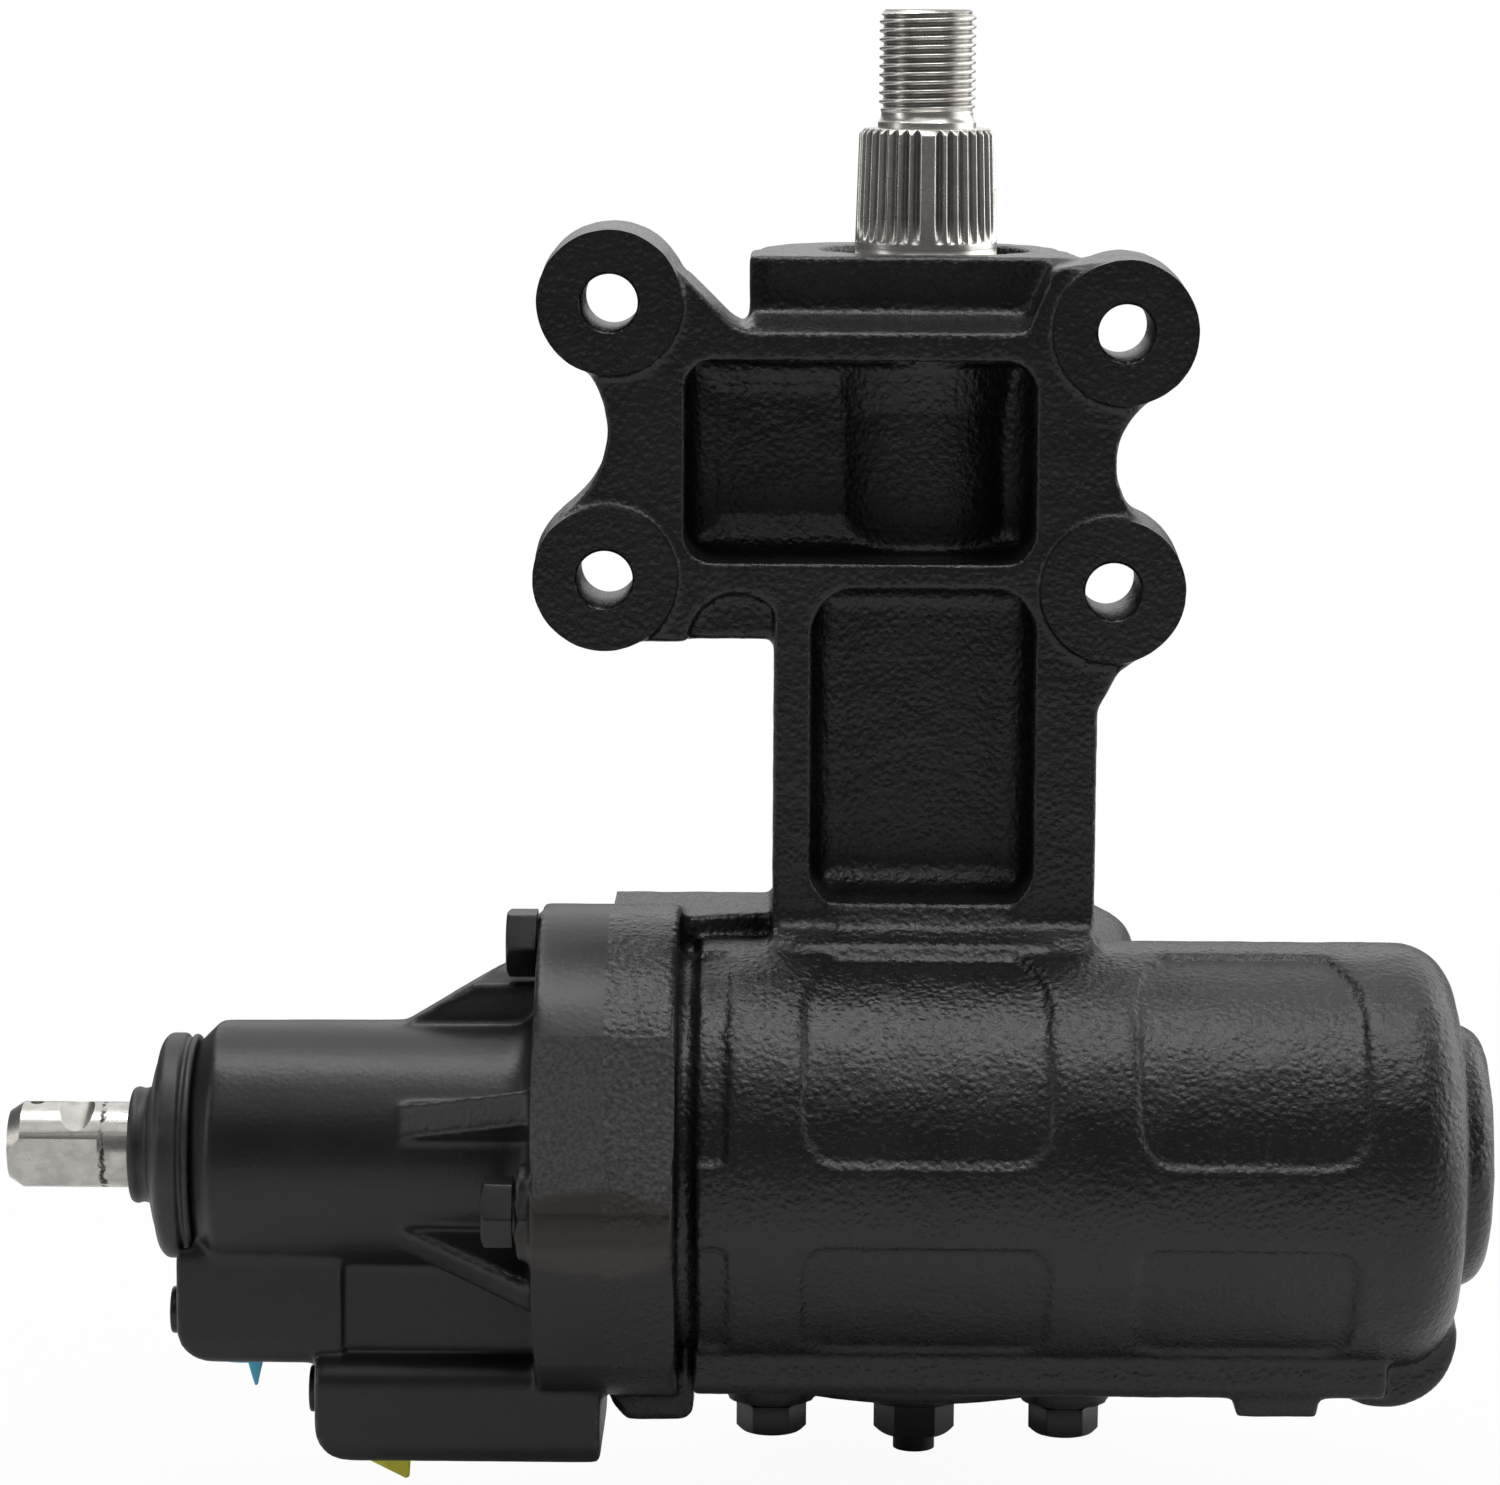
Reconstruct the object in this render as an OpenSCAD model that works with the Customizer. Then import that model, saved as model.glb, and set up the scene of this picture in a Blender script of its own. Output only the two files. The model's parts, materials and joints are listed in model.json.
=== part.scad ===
/* [Layout] */
// Distance between the worm axis and the sector shaft axis
centre_distance = 52; // [51:0.5:56]
// Distance from the sector shaft axis to the machined lug faces
lug_plane = 54; // [52:0.5:60]
// Station along the worm axis of the joint between the two housings
parting_x = -70; // [-74:0.5:-69]

/* [Rack and sector] */
// Module of the rack and sector teeth
tooth_module = 5; // [4.8:0.05:5.1]
// Teeth that a full circle of the sector would hold
full_circle_teeth = 11; // [11:1:11]
// Teeth on each side of the sector's middle tooth
side_teeth = 2; // [1:1:2]
// Pressure angle of the straight-sided rack
pressure_angle = 25; // [25:0.5:27]
// Height of the rack teeth above the pitch line
rack_addendum = 4.2; // [3.8:0.1:4.3]
// Height of the sector teeth above the pitch circle
sector_addendum = 5; // [4.6:0.1:5.1]
// Gap between a tooth's tip and the root that it enters
tip_clearance = 0.6; // [0.4:0.1:1]
// Width taken off each sector tooth at the pitch circle
backlash = 0.2; // [0.15:0.05:0.4]
// Face width of the sector
sector_width = 36; // [30:1:38]

/* [Ball screw] */
// Travel of the ball nut for one turn of the worm
worm_lead = 11; // [10.5:0.5:12]
// Radius of the circle that the ball centres lie on
ball_circle_r = 12.6; // [12.4:0.1:13]
// Radius of a ball
ball_r = 3.175; // [3:0.025:3.2]
// Balls in one turn of the track
balls_per_turn = 12; // [12:1:12]
// Balls in the loaded track
ball_count = 30; // [24:2:30]
// Outside radius of the worm
worm_r = 12; // [11.6:0.1:12.2]
// Gap between a ball and its groove
ball_gap = 0.17; // [0.15:0.01:0.2]
// Start of the ball groove on the worm
groove_x0 = -38; // [-42:0.5:-37]
// End of the ball groove on the worm
groove_x1 = 38; // [37:0.5:42]
// Tip of the worm inside the nut
worm_tip_x = 45; // [43:0.5:47]

/* [Rack piston] */
// Left end of the rack piston
rack_left_x = -45; // [-46:0.5:-44]
// Start of the full-round piston head
head_left_x = 51; // [51:0.5:54]
// Right end of the rack piston
head_right_x = 80; // [78:0.5:82]
// Radius of the cylinder bore
bore_r = 40; // [39.5:0.1:40.5]
// Gap between the piston head and the bore
piston_gap = 0.3; // [0.2:0.05:0.5]
// Radius of the nut behind the head
nut_r = 36; // [35:0.5:37]
// Radius of the end plug
end_plug_r = 15; // [14:0.5:17]
// Thickness of the end plug
end_plug_h = 12; // [10:0.5:13]
// Outer radius of the ball return guide
guide_r = 4.2; // [4:0.1:4.4]
// Depth below the worm axis of the guide's crossing
guide_depth = 26; // [25.5:0.5:27]

/* [Gear housing] */
// Outside radius of the piston cylinder
barrel_r = 47.5; // [46:0.5:49]
// Left end of the cylinder, behind the flange groove
barrel_left_x = -50; // [-51:0.5:-48]
// Right face of the cylinder
barrel_right_x = 118; // [116:0.5:120]
// Rounding of the cylinder's right edge
barrel_round = 12.5; // [8:0.5:15]
// End of the cylinder bore
bore_end_x = 108; // [106:0.5:109]
// Radius of the end boss
end_boss_r = 29.5; // [26:0.5:32]
// How far the end boss stands out
end_boss_h = 7.5; // [6:0.5:12]
// Rounding of the end boss
end_boss_round = 7; // [3:0.5:8]
// Radius of both housings' flanges
flange_r = 55; // [54:0.5:57]
// Thickness of the gear housing's flange
gear_flange_t = 15.5; // [14:0.5:17]
// Radius of the groove behind the flange
flange_groove_r = 44; // [43.5:0.1:45]
// Depth of the recessed panels on the cylinder
panel_depth = 1.4; // [0.6:0.1:1.6]
// Outside radius of the sector chamber
chamber_r = 50; // [49:0.5:52]
// Inside radius of the sector chamber
chamber_bore_r = 35; // [34.5:0.1:36]
// Top of the sector chamber
chamber_top_z = 44.5; // [42:0.5:50]
// Underside of the housing, where the side cover sits
cover_face_z = -53; // [-54:0.5:-52]
// Roof inside the sector chamber
chamber_roof_z = 22; // [21:0.5:25]
// Flat top of the block between the flange and the tower
plateau_z = 52; // [48:0.5:54]

/* [Tower and mounting plate] */
// Radius of the tube round the sector shaft
tower_r = 31; // [30:0.5:32]
// Outer side of the left tower rib
tower_left_x = -34; // [-36:0.5:-33]
// Outer side of the right tower rib
tower_right_x = 38; // [36:0.5:40]
// Thickness of the left tower rib
left_rib_t = 8.5; // [6:0.5:9]
// Thickness of the right tower rib
right_rib_t = 14; // [9:0.5:14.5]
// Top of the pocket between the tower ribs
lower_pocket_z = 126.8; // [122:0.2:128]
// Corner radius of the pocket between the tower ribs
lower_pocket_round = 10; // [6:0.5:12]
// How far the lug faces stand in front of the plate
lug_proud = 2.5; // [1:0.5:4]
// Depth of the mounting plate
plate_t = 33; // [28:0.5:36]
// Thickness of the web behind the upper pocket
web_t = 6; // [4:0.5:8]
// Middle of the upper left lug, as X and Z
lug_upper_left = [-70.5, 190]; // [-80:0.5:200]
// Middle of the upper right lug, as X and Z
lug_upper_right = [43, 184]; // [30:0.5:200]
// Middle of the lower left lug, as X and Z
lug_lower_left = [-71.5, 129]; // [-80:0.5:140]
// Middle of the lower right lug, as X and Z
lug_lower_right = [41, 127]; // [30:0.5:140]
// Radius of a lug at its machined face
lug_r = 16; // [15:0.2:17]
// Extra radius of a lug at its back, from the draft
lug_draft = 0.8; // [0.4:0.1:2]
// Length of a lug
lug_h = 30; // [26:0.5:34]
// Radius of the bolt hole in a lug
lug_hole_r = 6.25; // [5.5:0.25:7]
// Chamfer of the bolt hole
lug_chamfer = 0.6; // [0.2:0.1:1]
// Radius of the left side's waist
left_waist_r = 22; // [18:0.5:24]
// Radius of the right side's waist
right_waist_r = 17.3; // [15:0.1:18]
// Left side of the upper pocket
pocket_left_x = -54; // [-57:0.5:-48]
// Right side of the upper pocket
pocket_right_x = 23.5; // [20:0.5:26]
// Lower side of the upper pocket
pocket_bottom_z = 132.5; // [131.5:0.5:138]
// Upper side of the upper pocket
pocket_top_z = 177.3; // [170:0.1:179]
// Corner radius of the upper pocket
pocket_round = 6.6; // [4:0.2:10]
// Top of the neck
neck_top_z = 199.3; // [196:0.1:202]
// Left side of the neck
neck_left_x = -40; // [-42:0.5:-36]
// Right side of the neck
neck_right_x = 33; // [30:0.5:38]
// Distance from the shaft axis to the neck's front and back
neck_half_depth = 33.5; // [31:0.5:36]
// Height of the neck block
neck_h = 24; // [20:0.5:30]

/* [Sector shaft] */
// Radius of the pitman nut's thread
thread_r = 11; // [10:0.5:12]
// Top of the thread
thread_top_z = 253.6; // [248:0.1:258]
// Foot of the thread
thread_foot_z = 230.2; // [229:0.1:232]
// Top of the serrations
serration_top_z = 226.8; // [224:0.1:228]
// Foot of the serrations
serration_foot_z = 201.5; // [200.5:0.5:206]
// Radius over the serrations at their top
serration_top_r = 15.4; // [15:0.05:15.8]
// Radius over the serrations at their foot
serration_foot_r = 16.25; // [15.9:0.05:16.6]
// Serrations on the full circle
serration_count = 36; // [32:4:40]
// Depth of a serration
serration_depth = 1.1; // [0.7:0.05:1.2]
// Radius of the shaft in its bearings and seals
journal_r = 17.5; // [17:0.1:18]
// Radius of the lower stub in the side cover
stub_r = 16; // [15:0.1:16.5]
// Lower end of the stub
stub_end_z = -50; // [-51:0.5:-48]
// Outside radius of the tower bearings
tower_bearing_r = 22; // [21:0.1:22.5]
// Length of the upper bearing
upper_bearing_h = 30; // [20:1:34]
// Length of the lower bearing
lower_bearing_h = 30; // [20:1:34]
// Radius of the seal bore in the neck
seal_bore_r = 24; // [23.5:0.1:25]
// Depth of the seal bore
seal_bore_h = 20; // [19:0.5:22]
// Height of the oil seal
oil_seal_h = 9; // [7:0.5:9.5]
// Thickness of the retaining ring
seal_ring_t = 1.6; // [1.2:0.1:2]
// Height of the dust seal
dust_seal_h = 5; // [3:0.5:6]

/* [Side cover] */
// Thickness of the cover plate
cover_t = 7; // [6.5:0.5:9]
// Radius of the cover plate
cover_r = 50; // [49:0.5:51]
// Distance of the cover bolts from the shaft axis, in X and in Y
cover_bolt_offset = 33.6; // [33:0.1:35]
// Radius of a cover bolt's boss
cover_boss_r = 10.5; // [9.5:0.5:11.5]
// Depth of the adjuster boss below the plate
adjuster_boss_h = 11; // [9:0.5:13]
// Radius of the adjuster boss
adjuster_boss_r = 14; // [12:0.5:18]
// Wall round the bushing
bushing_wall = 4; // [3:0.5:6]
// Thickness of the bushing
bushing_t = 2; // [1.5:0.1:2.5]
// Top of the bushing
bushing_top_z = -24; // [-26:0.5:-22]
// Radius of the adjuster screw
adjuster_r = 4.9; // [4.4:0.1:5.2]
// Radius of the adjuster's head
adjuster_head_r = 7.5; // [7:0.1:8]
// Height of the adjuster's head
adjuster_head_h = 5; // [4:0.5:6]
// Tip of the adjuster screw
adjuster_tip_z = -84; // [-86:0.5:-83]
// Width across the lock nut's flats
lock_nut_af = 16.5; // [15:0.5:18]
// Height of the lock nut
lock_nut_h = 9; // [7:0.5:10]

/* [Fasteners and seals] */
// Radius of the M10 bolts
bolt_r = 5; // [4.5:0.25:5]
// Width across a bolt head's flats
bolt_af = 14; // [13:0.5:16]
// Height of a bolt head
bolt_head_h = 7.5; // [6:0.5:8]
// How deep a bolt goes into the gear housing
bolt_grip = 14; // [10:0.5:16]
// Radius of the housing joint's bolt circle
flange_bolt_circle_r = 47.6; // [47:0.1:48.5]
// Turn of the housing joint's first bolt from the front
flange_bolt_start = -3.8; // [-8:0.2:0]
// Radius of an O-ring's section
o_ring_r = 1.5; // [1.2:0.1:1.7]

/* [Valve housing] */
// Thickness of the valve housing's flange
valve_flange_t = 15.5; // [13:0.5:17]
// Outside radius of the valve barrel
valve_barrel_r = 28.25; // [27.5:0.25:29]
// Left end of the valve barrel
valve_left_x = -162.5; // [-165:0.5:-161]
// Chamfer of the valve barrel's left end
valve_chamfer = 5; // [3:0.5:6]
// Radius of the valve bore
valve_bore_r = 22; // [21.8:0.05:22.4]
// Left end of the valve bore
valve_bore_left_x = -140; // [-141:0.5:-139.5]
// Gap between a housing spigot and the bore that it enters
spigot_gap = 0.1; // [0.05:0.05:0.2]
// Length of the spigot
spigot_h = 5; // [5:0.5:6]
// Radius of the worm bearing
worm_bearing_r = 27; // [26.5:0.1:28]
// Width of the worm bearing
worm_bearing_w = 12; // [11:0.5:13]
// Width of a gusset between the barrel and the flange
gusset_t = 8; // [6:0.5:9]
// Reach of a gusset along the barrel
gusset_len = 32; // [24:1:34]
// Radius that a gusset reaches on the flange
gusset_r = 47; // [42:0.5:48]
// Left end of the return port block
return_block_left_x = -166; // [-169:0.5:-164]
// Underside of the return port block
return_block_z = -46.5; // [-48:0.5:-44]
// Left end of the pressure port block
pressure_block_left_x = -135; // [-138:0.5:-133]
// Underside of the pressure port block
pressure_block_z = -67.5; // [-70:0.5:-64]
// Top of the pressure port block's ledge
pressure_ledge_z = -43.5; // [-46:0.5:-42]
// Half depth of the port blocks
block_half_depth = 19; // [17:0.5:21]
// Station of the return port
return_port_x = -152.5; // [-154:0.5:-150]
// Station of the pressure port
pressure_port_x = -116; // [-120:0.5:-110]
// Radius of an oil port
port_r = 7.5; // [7:0.25:8]
// Depth of an oil port
port_h = 13; // [11:0.5:14]
// Radius of a passage plug
passage_plug_r = 5.3; // [4.5:0.1:6]

/* [Input shaft and valve] */
// Free end of the input shaft
input_tip_x = -205; // [-208:0.5:-203]
// Radius of the input shaft
input_r = 9.6; // [9.2:0.1:9.8]
// Distance from the axis to the flats of the input shaft
input_flat = 7.4; // [7:0.1:8]
// Length of the flats
input_flat_len = 20.5; // [18:0.5:24]
// Turn of the flats about the shaft
input_flat_turn = 20; // [0:1:30]
// Radius of the valve rotor
rotor_r = 13; // [12.8:0.05:13.4]
// Slots round the rotor
rotor_slots = 6; // [4:1:8]
// Outside radius of the valve sleeve
sleeve_r = 20.5; // [20:0.1:20.8]
// Right end of the valve sleeve
sleeve_right_x = -97; // [-98:0.5:-96]
// Radius of the torsion bar's ends
torsion_end_r = 4.6; // [4.4:0.1:4.8]
// Radius of the torsion bar between its ends
torsion_r = 3.4; // [3:0.1:3.8]
// Radius of the torsion bar's pin
pin_r = 1.5; // [1.2:0.1:1.8]
// Radius of the dust cover's rim
dust_rim_r = 25.3; // [24.5:0.1:26]
// Radius of the dust cover's neck
dust_neck_r = 13.2; // [12.5:0.1:14]
// How far the dust cover reaches past the valve barrel
dust_cover_len = 15; // [14:0.5:17]
// Length of the input shaft's bearing
input_bearing_len = 10; // [8:0.5:10.5]
// Length of the input shaft's oil seal
input_seal_len = 8; // [6:0.5:8.5]

/* [Clearances] */
// Radial gap of a shaft in its bearing
running_gap = 0.04; // [0.02:0.01:0.08]
// Gap between pieces that are fitted together and stay put
seat_gap = 0.02; // [0.01:0.01:0.05]
// Gap between a bolt and its clearance hole
bolt_gap = 0.4; // [0.25:0.05:0.6]

/* [Hidden] */
$fn = 64;

cast_black = [0.05, 0.05, 0.05];
cover_black = [0.08, 0.08, 0.08];
rubber_black = [0.10, 0.10, 0.10];
bare_steel = [0.72, 0.70, 0.67];
dark_steel = [0.42, 0.42, 0.44];
bronze = [0.66, 0.50, 0.28];
cap_blue = [0.20, 0.62, 0.82];
cap_yellow = [0.90, 0.82, 0.10];

// Overlap that makes a cut run clear of a face
eps = 0.5;

// The frame's origin is the middle of the four lugs on their machined faces
mount_mid = (lug_upper_left + lug_upper_right + lug_lower_left + lug_lower_right) / 4;
lugs = [lug_upper_left, lug_upper_right, lug_lower_left, lug_lower_right];

// Rack and sector mesh
sector_pitch_r = tooth_module * full_circle_teeth / 2;
sector_base_r = sector_pitch_r * cos(pressure_angle);
sector_tip_r = sector_pitch_r + sector_addendum;
sector_root_r = sector_pitch_r - rack_addendum - tip_clearance;
rack_pitch = PI * tooth_module;
rack_pitch_u = centre_distance - sector_pitch_r;
rack_tip_u = rack_pitch_u + rack_addendum;
rack_root_u = rack_pitch_u - sector_addendum - tip_clearance;
tooth_angle = 360 / full_circle_teeth;
flank_steps = 5;

// Ball screw
groove_r = ball_r + ball_gap;
nut_bore_r = worm_r + 0.4;
worm_core_r = ball_circle_r - groove_r - 0.3;
groove_half_turn = 360 / worm_lead * sqrt(groove_r * groove_r - pow(ball_circle_r - worm_r, 2));
groove_points = 12;
land_points = 6;
slices_per_turn = 14;
track_end_turn = 360 / balls_per_turn * (ball_count - 1) / 2;
track_end_x = worm_lead * track_end_turn / 360;
guide_run = [2 * track_end_x, 2 * ball_circle_r * sin(track_end_turn)];

// Piston
piston_r = bore_r - piston_gap;
piston_ring_w = 4;
piston_ring_t = 3;
piston_ring_x = (head_left_x + head_right_x) / 2;
guide_flat_depth = guide_depth - guide_r - 1.6;
guide_half_len = track_end_x + guide_r + 5;
clamp_w = 10;
clamp_len = 32;
clamp_screw_pitch = 11;
clamp_screw_r = 2.5;
clamp_face_depth = guide_depth + guide_r + 1.3;

// Tower and plate, as distances along Y from the sector shaft axis
plate_front_y = lug_proud - lug_plane;
plate_back_y = plate_front_y + plate_t;
web_front_y = plate_back_y - web_t;
lug_back_y = lug_h - lug_plane;
left_waist = [(lug_upper_left[0] + lug_lower_left[0]) / 2 - left_waist_r,
              (lug_upper_left[1] + lug_lower_left[1]) / 2 + 2];
right_waist = [(lug_upper_right[0] + lug_lower_right[0]) / 2 + right_waist_r - 0.6,
               (lug_upper_right[1] + lug_lower_right[1]) / 2 - 0.6];
plate_foot_z = lug_lower_left[1] - 14.4;
plate_top_z = lug_upper_right[1] - 0.5;
scallop = [tower_left_x - 8, plate_foot_z];
scallop_r = 11;
scallop_depth = 6;
pocket_saddle_r = 12;
rib_foot_z = barrel_r + 4;
rib_pad_z = barrel_r + 2.8;
rib_pad_r = 3.5;
rib_pad_reach = 9;

// Sector shaft stations
seal_floor_z = neck_top_z - seal_bore_h;
upper_bearing_z = seal_floor_z - 6 - upper_bearing_h;
lower_bearing_z = chamber_roof_z;
seal_ring_z = seal_floor_z + oil_seal_h + 0.6;
seal_ring_groove = 0.8;
dust_seal_z = neck_top_z - dust_seal_h;
shaft_bore_r = journal_r + 1;
neck_bottom_z = neck_top_z - neck_h;
neck_cone_h = 14;
adjuster_pocket_r = adjuster_head_r + 1;
retainer_t = 4;
adjuster_head_z = stub_end_z + retainer_t + 0.3;
cover_bottom_z = cover_face_z - cover_t;
cover_boss_h = 2.5;
boss_bottom_z = cover_bottom_z - adjuster_boss_h;

// Stations along the worm axis
valve_flange_x = parting_x - valve_flange_t;
gear_flange_x = parting_x + gear_flange_t;
bearing_x = parting_x - worm_bearing_w;
bearing_ball_circle_r = 20.5;
bearing_ball_r = 3.4;
bearing_ball_count = 14;
bearing_ring_t = 3.6;
worm_shank_r = bearing_ball_circle_r - bearing_ball_r - 2.2;
worm_head_r = 20;
nose_bore_r = 18;
input_bearing_x = valve_bore_left_x - input_bearing_len;
input_bearing_r = 14;
input_seal_x = input_bearing_x - input_seal_len;
input_ring_x = input_seal_x - 2;
dust_tip_x = valve_left_x - dust_cover_len;
rotor_left_x = valve_bore_left_x + 1.5;
rotor_right_x = sleeve_right_x + 0.5;
sleeve_left_x = valve_bore_left_x + 1;
cup_end_x = sleeve_right_x + 12;
spigot_r = 8;
torsion_worm_x = -56;
torsion_bore_r = torsion_end_r + 0.3;
sleeve_ring_w = 2;
sleeve_ring_depth = 2.2;
sleeve_ring_x = [for (i = [0:3]) sleeve_left_x + 2.5 + i * (sleeve_right_x - sleeve_left_x - 7) / 3];
flange_bolt_len = valve_flange_t + bolt_grip;
// Height of the spot under each joint bolt: front, top, back and bottom
flange_spots = [3, 0, 0, 1.5];
bolt_spot_r = 10.5;
flange_lobe_r = 10.5;
lobe_root = flange_r * [cos(42), sin(42)];
lobe_run = lobe_root - [flange_bolt_circle_r, 0];
lobe_turn = atan2(lobe_run[1], lobe_run[0]) - acos(flange_lobe_r / norm(lobe_run));
lobe_touch = [flange_bolt_circle_r + flange_lobe_r * cos(lobe_turn), flange_lobe_r * sin(lobe_turn)];
gusset_turns = [-33, 24, 92, 165, 220];
flange_fillet = 6;
passage_plug_h = 5;
pressure_block_right_x = parting_x - 1.5;
// Pull tabs of the port plugs: station, width and drop
return_tab = [1.5, 2.8, 6];
pressure_tab = [-7.5, 8, 5];

// The gallery that carries oil to the far end of the cylinder
gallery_front_y = -24 - centre_distance;
gallery_back_y = -4;
gallery_top_z = -30;
gallery_bottom_z = cover_face_z + 2;
gallery_right_x = barrel_right_x + 1;
gallery_boss_x = 69.5;
gallery_boss_w = 18.5;

// The recessed panels on the cylinder's front, above and below a plain band
left_panel_x = [-27, 27.5];
right_panel_x = [45.5, 96];
strip_panel_x = [barrel_left_x - eps, -42.7];
upper_panel_z = [7, barrel_r - 0.7];
lower_panel_z = [-39.5, -11];

// The flat block between the flange and the tower, and the foot under the flange
plateau_left_x = parting_x;
plateau_back_y = -13;
foot_right_x = -51;
foot_bottom_z = cover_face_z - 8;

// Puts the part's own frame at the middle of its four lugs
module placed() translate([-mount_mid[0], lug_plane, -mount_mid[1]]) children();

// Turns +Z onto the worm axis, which runs along +X
module on_worm() translate([0, -centre_distance, 0]) rotate([0, 90, 0]) children();

module worm_span(x0, x1, r) on_worm() translate([0, 0, x0]) cylinder(h = x1 - x0, r = r);

module worm_ring(x0, x1, r_out, r_in) difference() {
    worm_span(x0, x1, r_out);
    worm_span(x0 - eps, x1 + eps, r_in);
}

module shaft_span(z0, z1, r) translate([0, 0, z0]) cylinder(h = z1 - z0, r = r);

module shaft_ring(z0, z1, r_out, r_in) difference() {
    shaft_span(z0, z1, r_out);
    shaft_span(z0 - eps, z1 + eps, r_in);
}

// Extrudes an outline drawn in X and Z from y0 to y1
module front_prism(y0, y1) translate([0, y1, 0]) rotate([90, 0, 0]) linear_extrude(y1 - y0) children();

// Extrudes an outline drawn in Y and Z from x0 to x1
module side_prism(x0, x1) translate([x0, 0, 0]) rotate([90, 0, 90]) linear_extrude(x1 - x0) children();

module box(x0, x1, y0, y1, z0, z1) translate([x0, y0, z0]) cube([x1 - x0, y1 - y0, z1 - z0]);

module rounded_rect(x0, x1, y0, y1, r) {
    translate([x0 + r, y0]) square([x1 - x0 - 2 * r, y1 - y0]);
    translate([x0, y0 + r]) square([x1 - x0, y1 - y0 - 2 * r]);
    for (x = [x0 + r, x1 - r], y = [y0 + r, y1 - r])
        translate([x, y]) circle(r);
}

module hex_prism(af, h) cylinder(h = h, d = af / cos(30), $fn = 6);

module at_flange_bolts() on_worm()
    for (i = [0:3]) let ($spot_h = flange_spots[i])
        rotate(-90 - flange_bolt_start - 90 * i) translate([flange_bolt_circle_r, 0, 0]) children();

// A flange round the worm axis, with a lobe round its front bolt that runs out on the circle
module flange_span(x0, x1) on_worm() translate([0, 0, x0]) linear_extrude(x1 - x0) {
    circle(flange_r);
    rotate(-90 - flange_bolt_start) {
        translate([flange_bolt_circle_r, 0]) circle(flange_lobe_r);
        polygon([[0, 0], [lobe_root[0], -lobe_root[1]], [lobe_touch[0], -lobe_touch[1]],
                 lobe_touch, lobe_root]);
    }
}

module at_cover_bolts()
    for (x = [-1, 1], y = [-1, 1])
        translate([x * cover_bolt_offset, y * cover_bolt_offset, 0]) children();

module at_lugs() for (lug = lugs) translate([lug[0], 0, lug[1]]) rotate([90, 0, 0]) children();

// Gear housing

module barrel_profile() {
    square([barrel_r, barrel_right_x - barrel_round - barrel_left_x]);
    square([barrel_r - barrel_round, barrel_right_x - barrel_left_x]);
    translate([barrel_r - barrel_round, barrel_right_x - barrel_round - barrel_left_x])
        circle(barrel_round);
}

module end_boss_profile() {
    square([end_boss_r, end_boss_h]);
    square([end_boss_r - end_boss_round, end_boss_h + end_boss_round]);
    translate([end_boss_r - end_boss_round, end_boss_h]) circle(end_boss_round);
}

module housing_barrel() {
    on_worm() translate([0, 0, barrel_left_x]) rotate_extrude() intersection() {
        barrel_profile();
        square([barrel_r, barrel_right_x - barrel_left_x]);
    }
    on_worm() translate([0, 0, barrel_right_x - end_boss_round]) rotate_extrude() intersection() {
        end_boss_profile();
        square([end_boss_r, end_boss_h + end_boss_round]);
    }
}

module barrel_panel(x0, x1, z0, z1, round_r) intersection() {
    worm_ring(x0 - eps, x1 + eps, barrel_r + 2 * panel_depth, barrel_r - panel_depth);
    front_prism(-centre_distance - barrel_r - 5, -centre_distance)
        rounded_rect(x0, x1, z0, z1, round_r);
}

module barrel_panels() {
    barrel_panel(left_panel_x[0], left_panel_x[1], upper_panel_z[0], upper_panel_z[1], 9);
    barrel_panel(right_panel_x[0], right_panel_x[1], upper_panel_z[0], upper_panel_z[1], 9);
    barrel_panel(strip_panel_x[0], strip_panel_x[1], upper_panel_z[0], upper_panel_z[1], 3);
    barrel_panel(left_panel_x[0], left_panel_x[1], lower_panel_z[0], lower_panel_z[1], 6);
    barrel_panel(right_panel_x[0], right_panel_x[1] - 2, lower_panel_z[0], lower_panel_z[1], 6);
    barrel_panel(strip_panel_x[0], strip_panel_x[1], lower_panel_z[0], lower_panel_z[1], 3);
}

module housing_flange() {
    flange_span(parting_x, gear_flange_x);
    worm_span(parting_x, barrel_left_x + 1, flange_groove_r);
    linear_extrude(plateau_z)
        polygon([[plateau_left_x, 1 - centre_distance], [tower_left_x + 1, 12 - centre_distance],
                 [tower_left_x + 1, plateau_back_y], [plateau_left_x, plateau_back_y]]);
    front_prism(-centre_distance - 8, -8)
        polygon([[parting_x + 0.5, 0], [parting_x + 0.5, foot_bottom_z + 4], [parting_x + 4, foot_bottom_z],
                 [foot_right_x - 2, foot_bottom_z], [foot_right_x, foot_bottom_z + 2], [foot_right_x, 0]]);
}

module sector_chamber() {
    edge = 8;
    translate([0, 0, cover_face_z]) rotate_extrude() {
        square([chamber_r, chamber_top_z - edge - cover_face_z]);
        square([chamber_r - edge, chamber_top_z - cover_face_z]);
        translate([chamber_r - edge, chamber_top_z - edge - cover_face_z]) circle(edge);
    }
    at_cover_bolts() shaft_span(cover_face_z, cover_face_z + 24, cover_boss_r);
}

module gallery() {
    lobe_r = 16;
    side_prism(barrel_left_x - 1, gallery_right_x - lobe_r)
        rounded_rect(gallery_front_y, gallery_back_y, gallery_bottom_z, gallery_top_z, 4);
    translate([gallery_right_x - lobe_r, gallery_back_y - 4, gallery_bottom_z + lobe_r - 3])
        rotate([90, 0, 0]) cylinder(h = gallery_back_y - gallery_front_y - 10, r = lobe_r);
    box(gallery_boss_x, gallery_boss_x + gallery_boss_w, gallery_front_y + 2, gallery_front_y + 34,
        gallery_bottom_z - 4, gallery_top_z);
}

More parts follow.
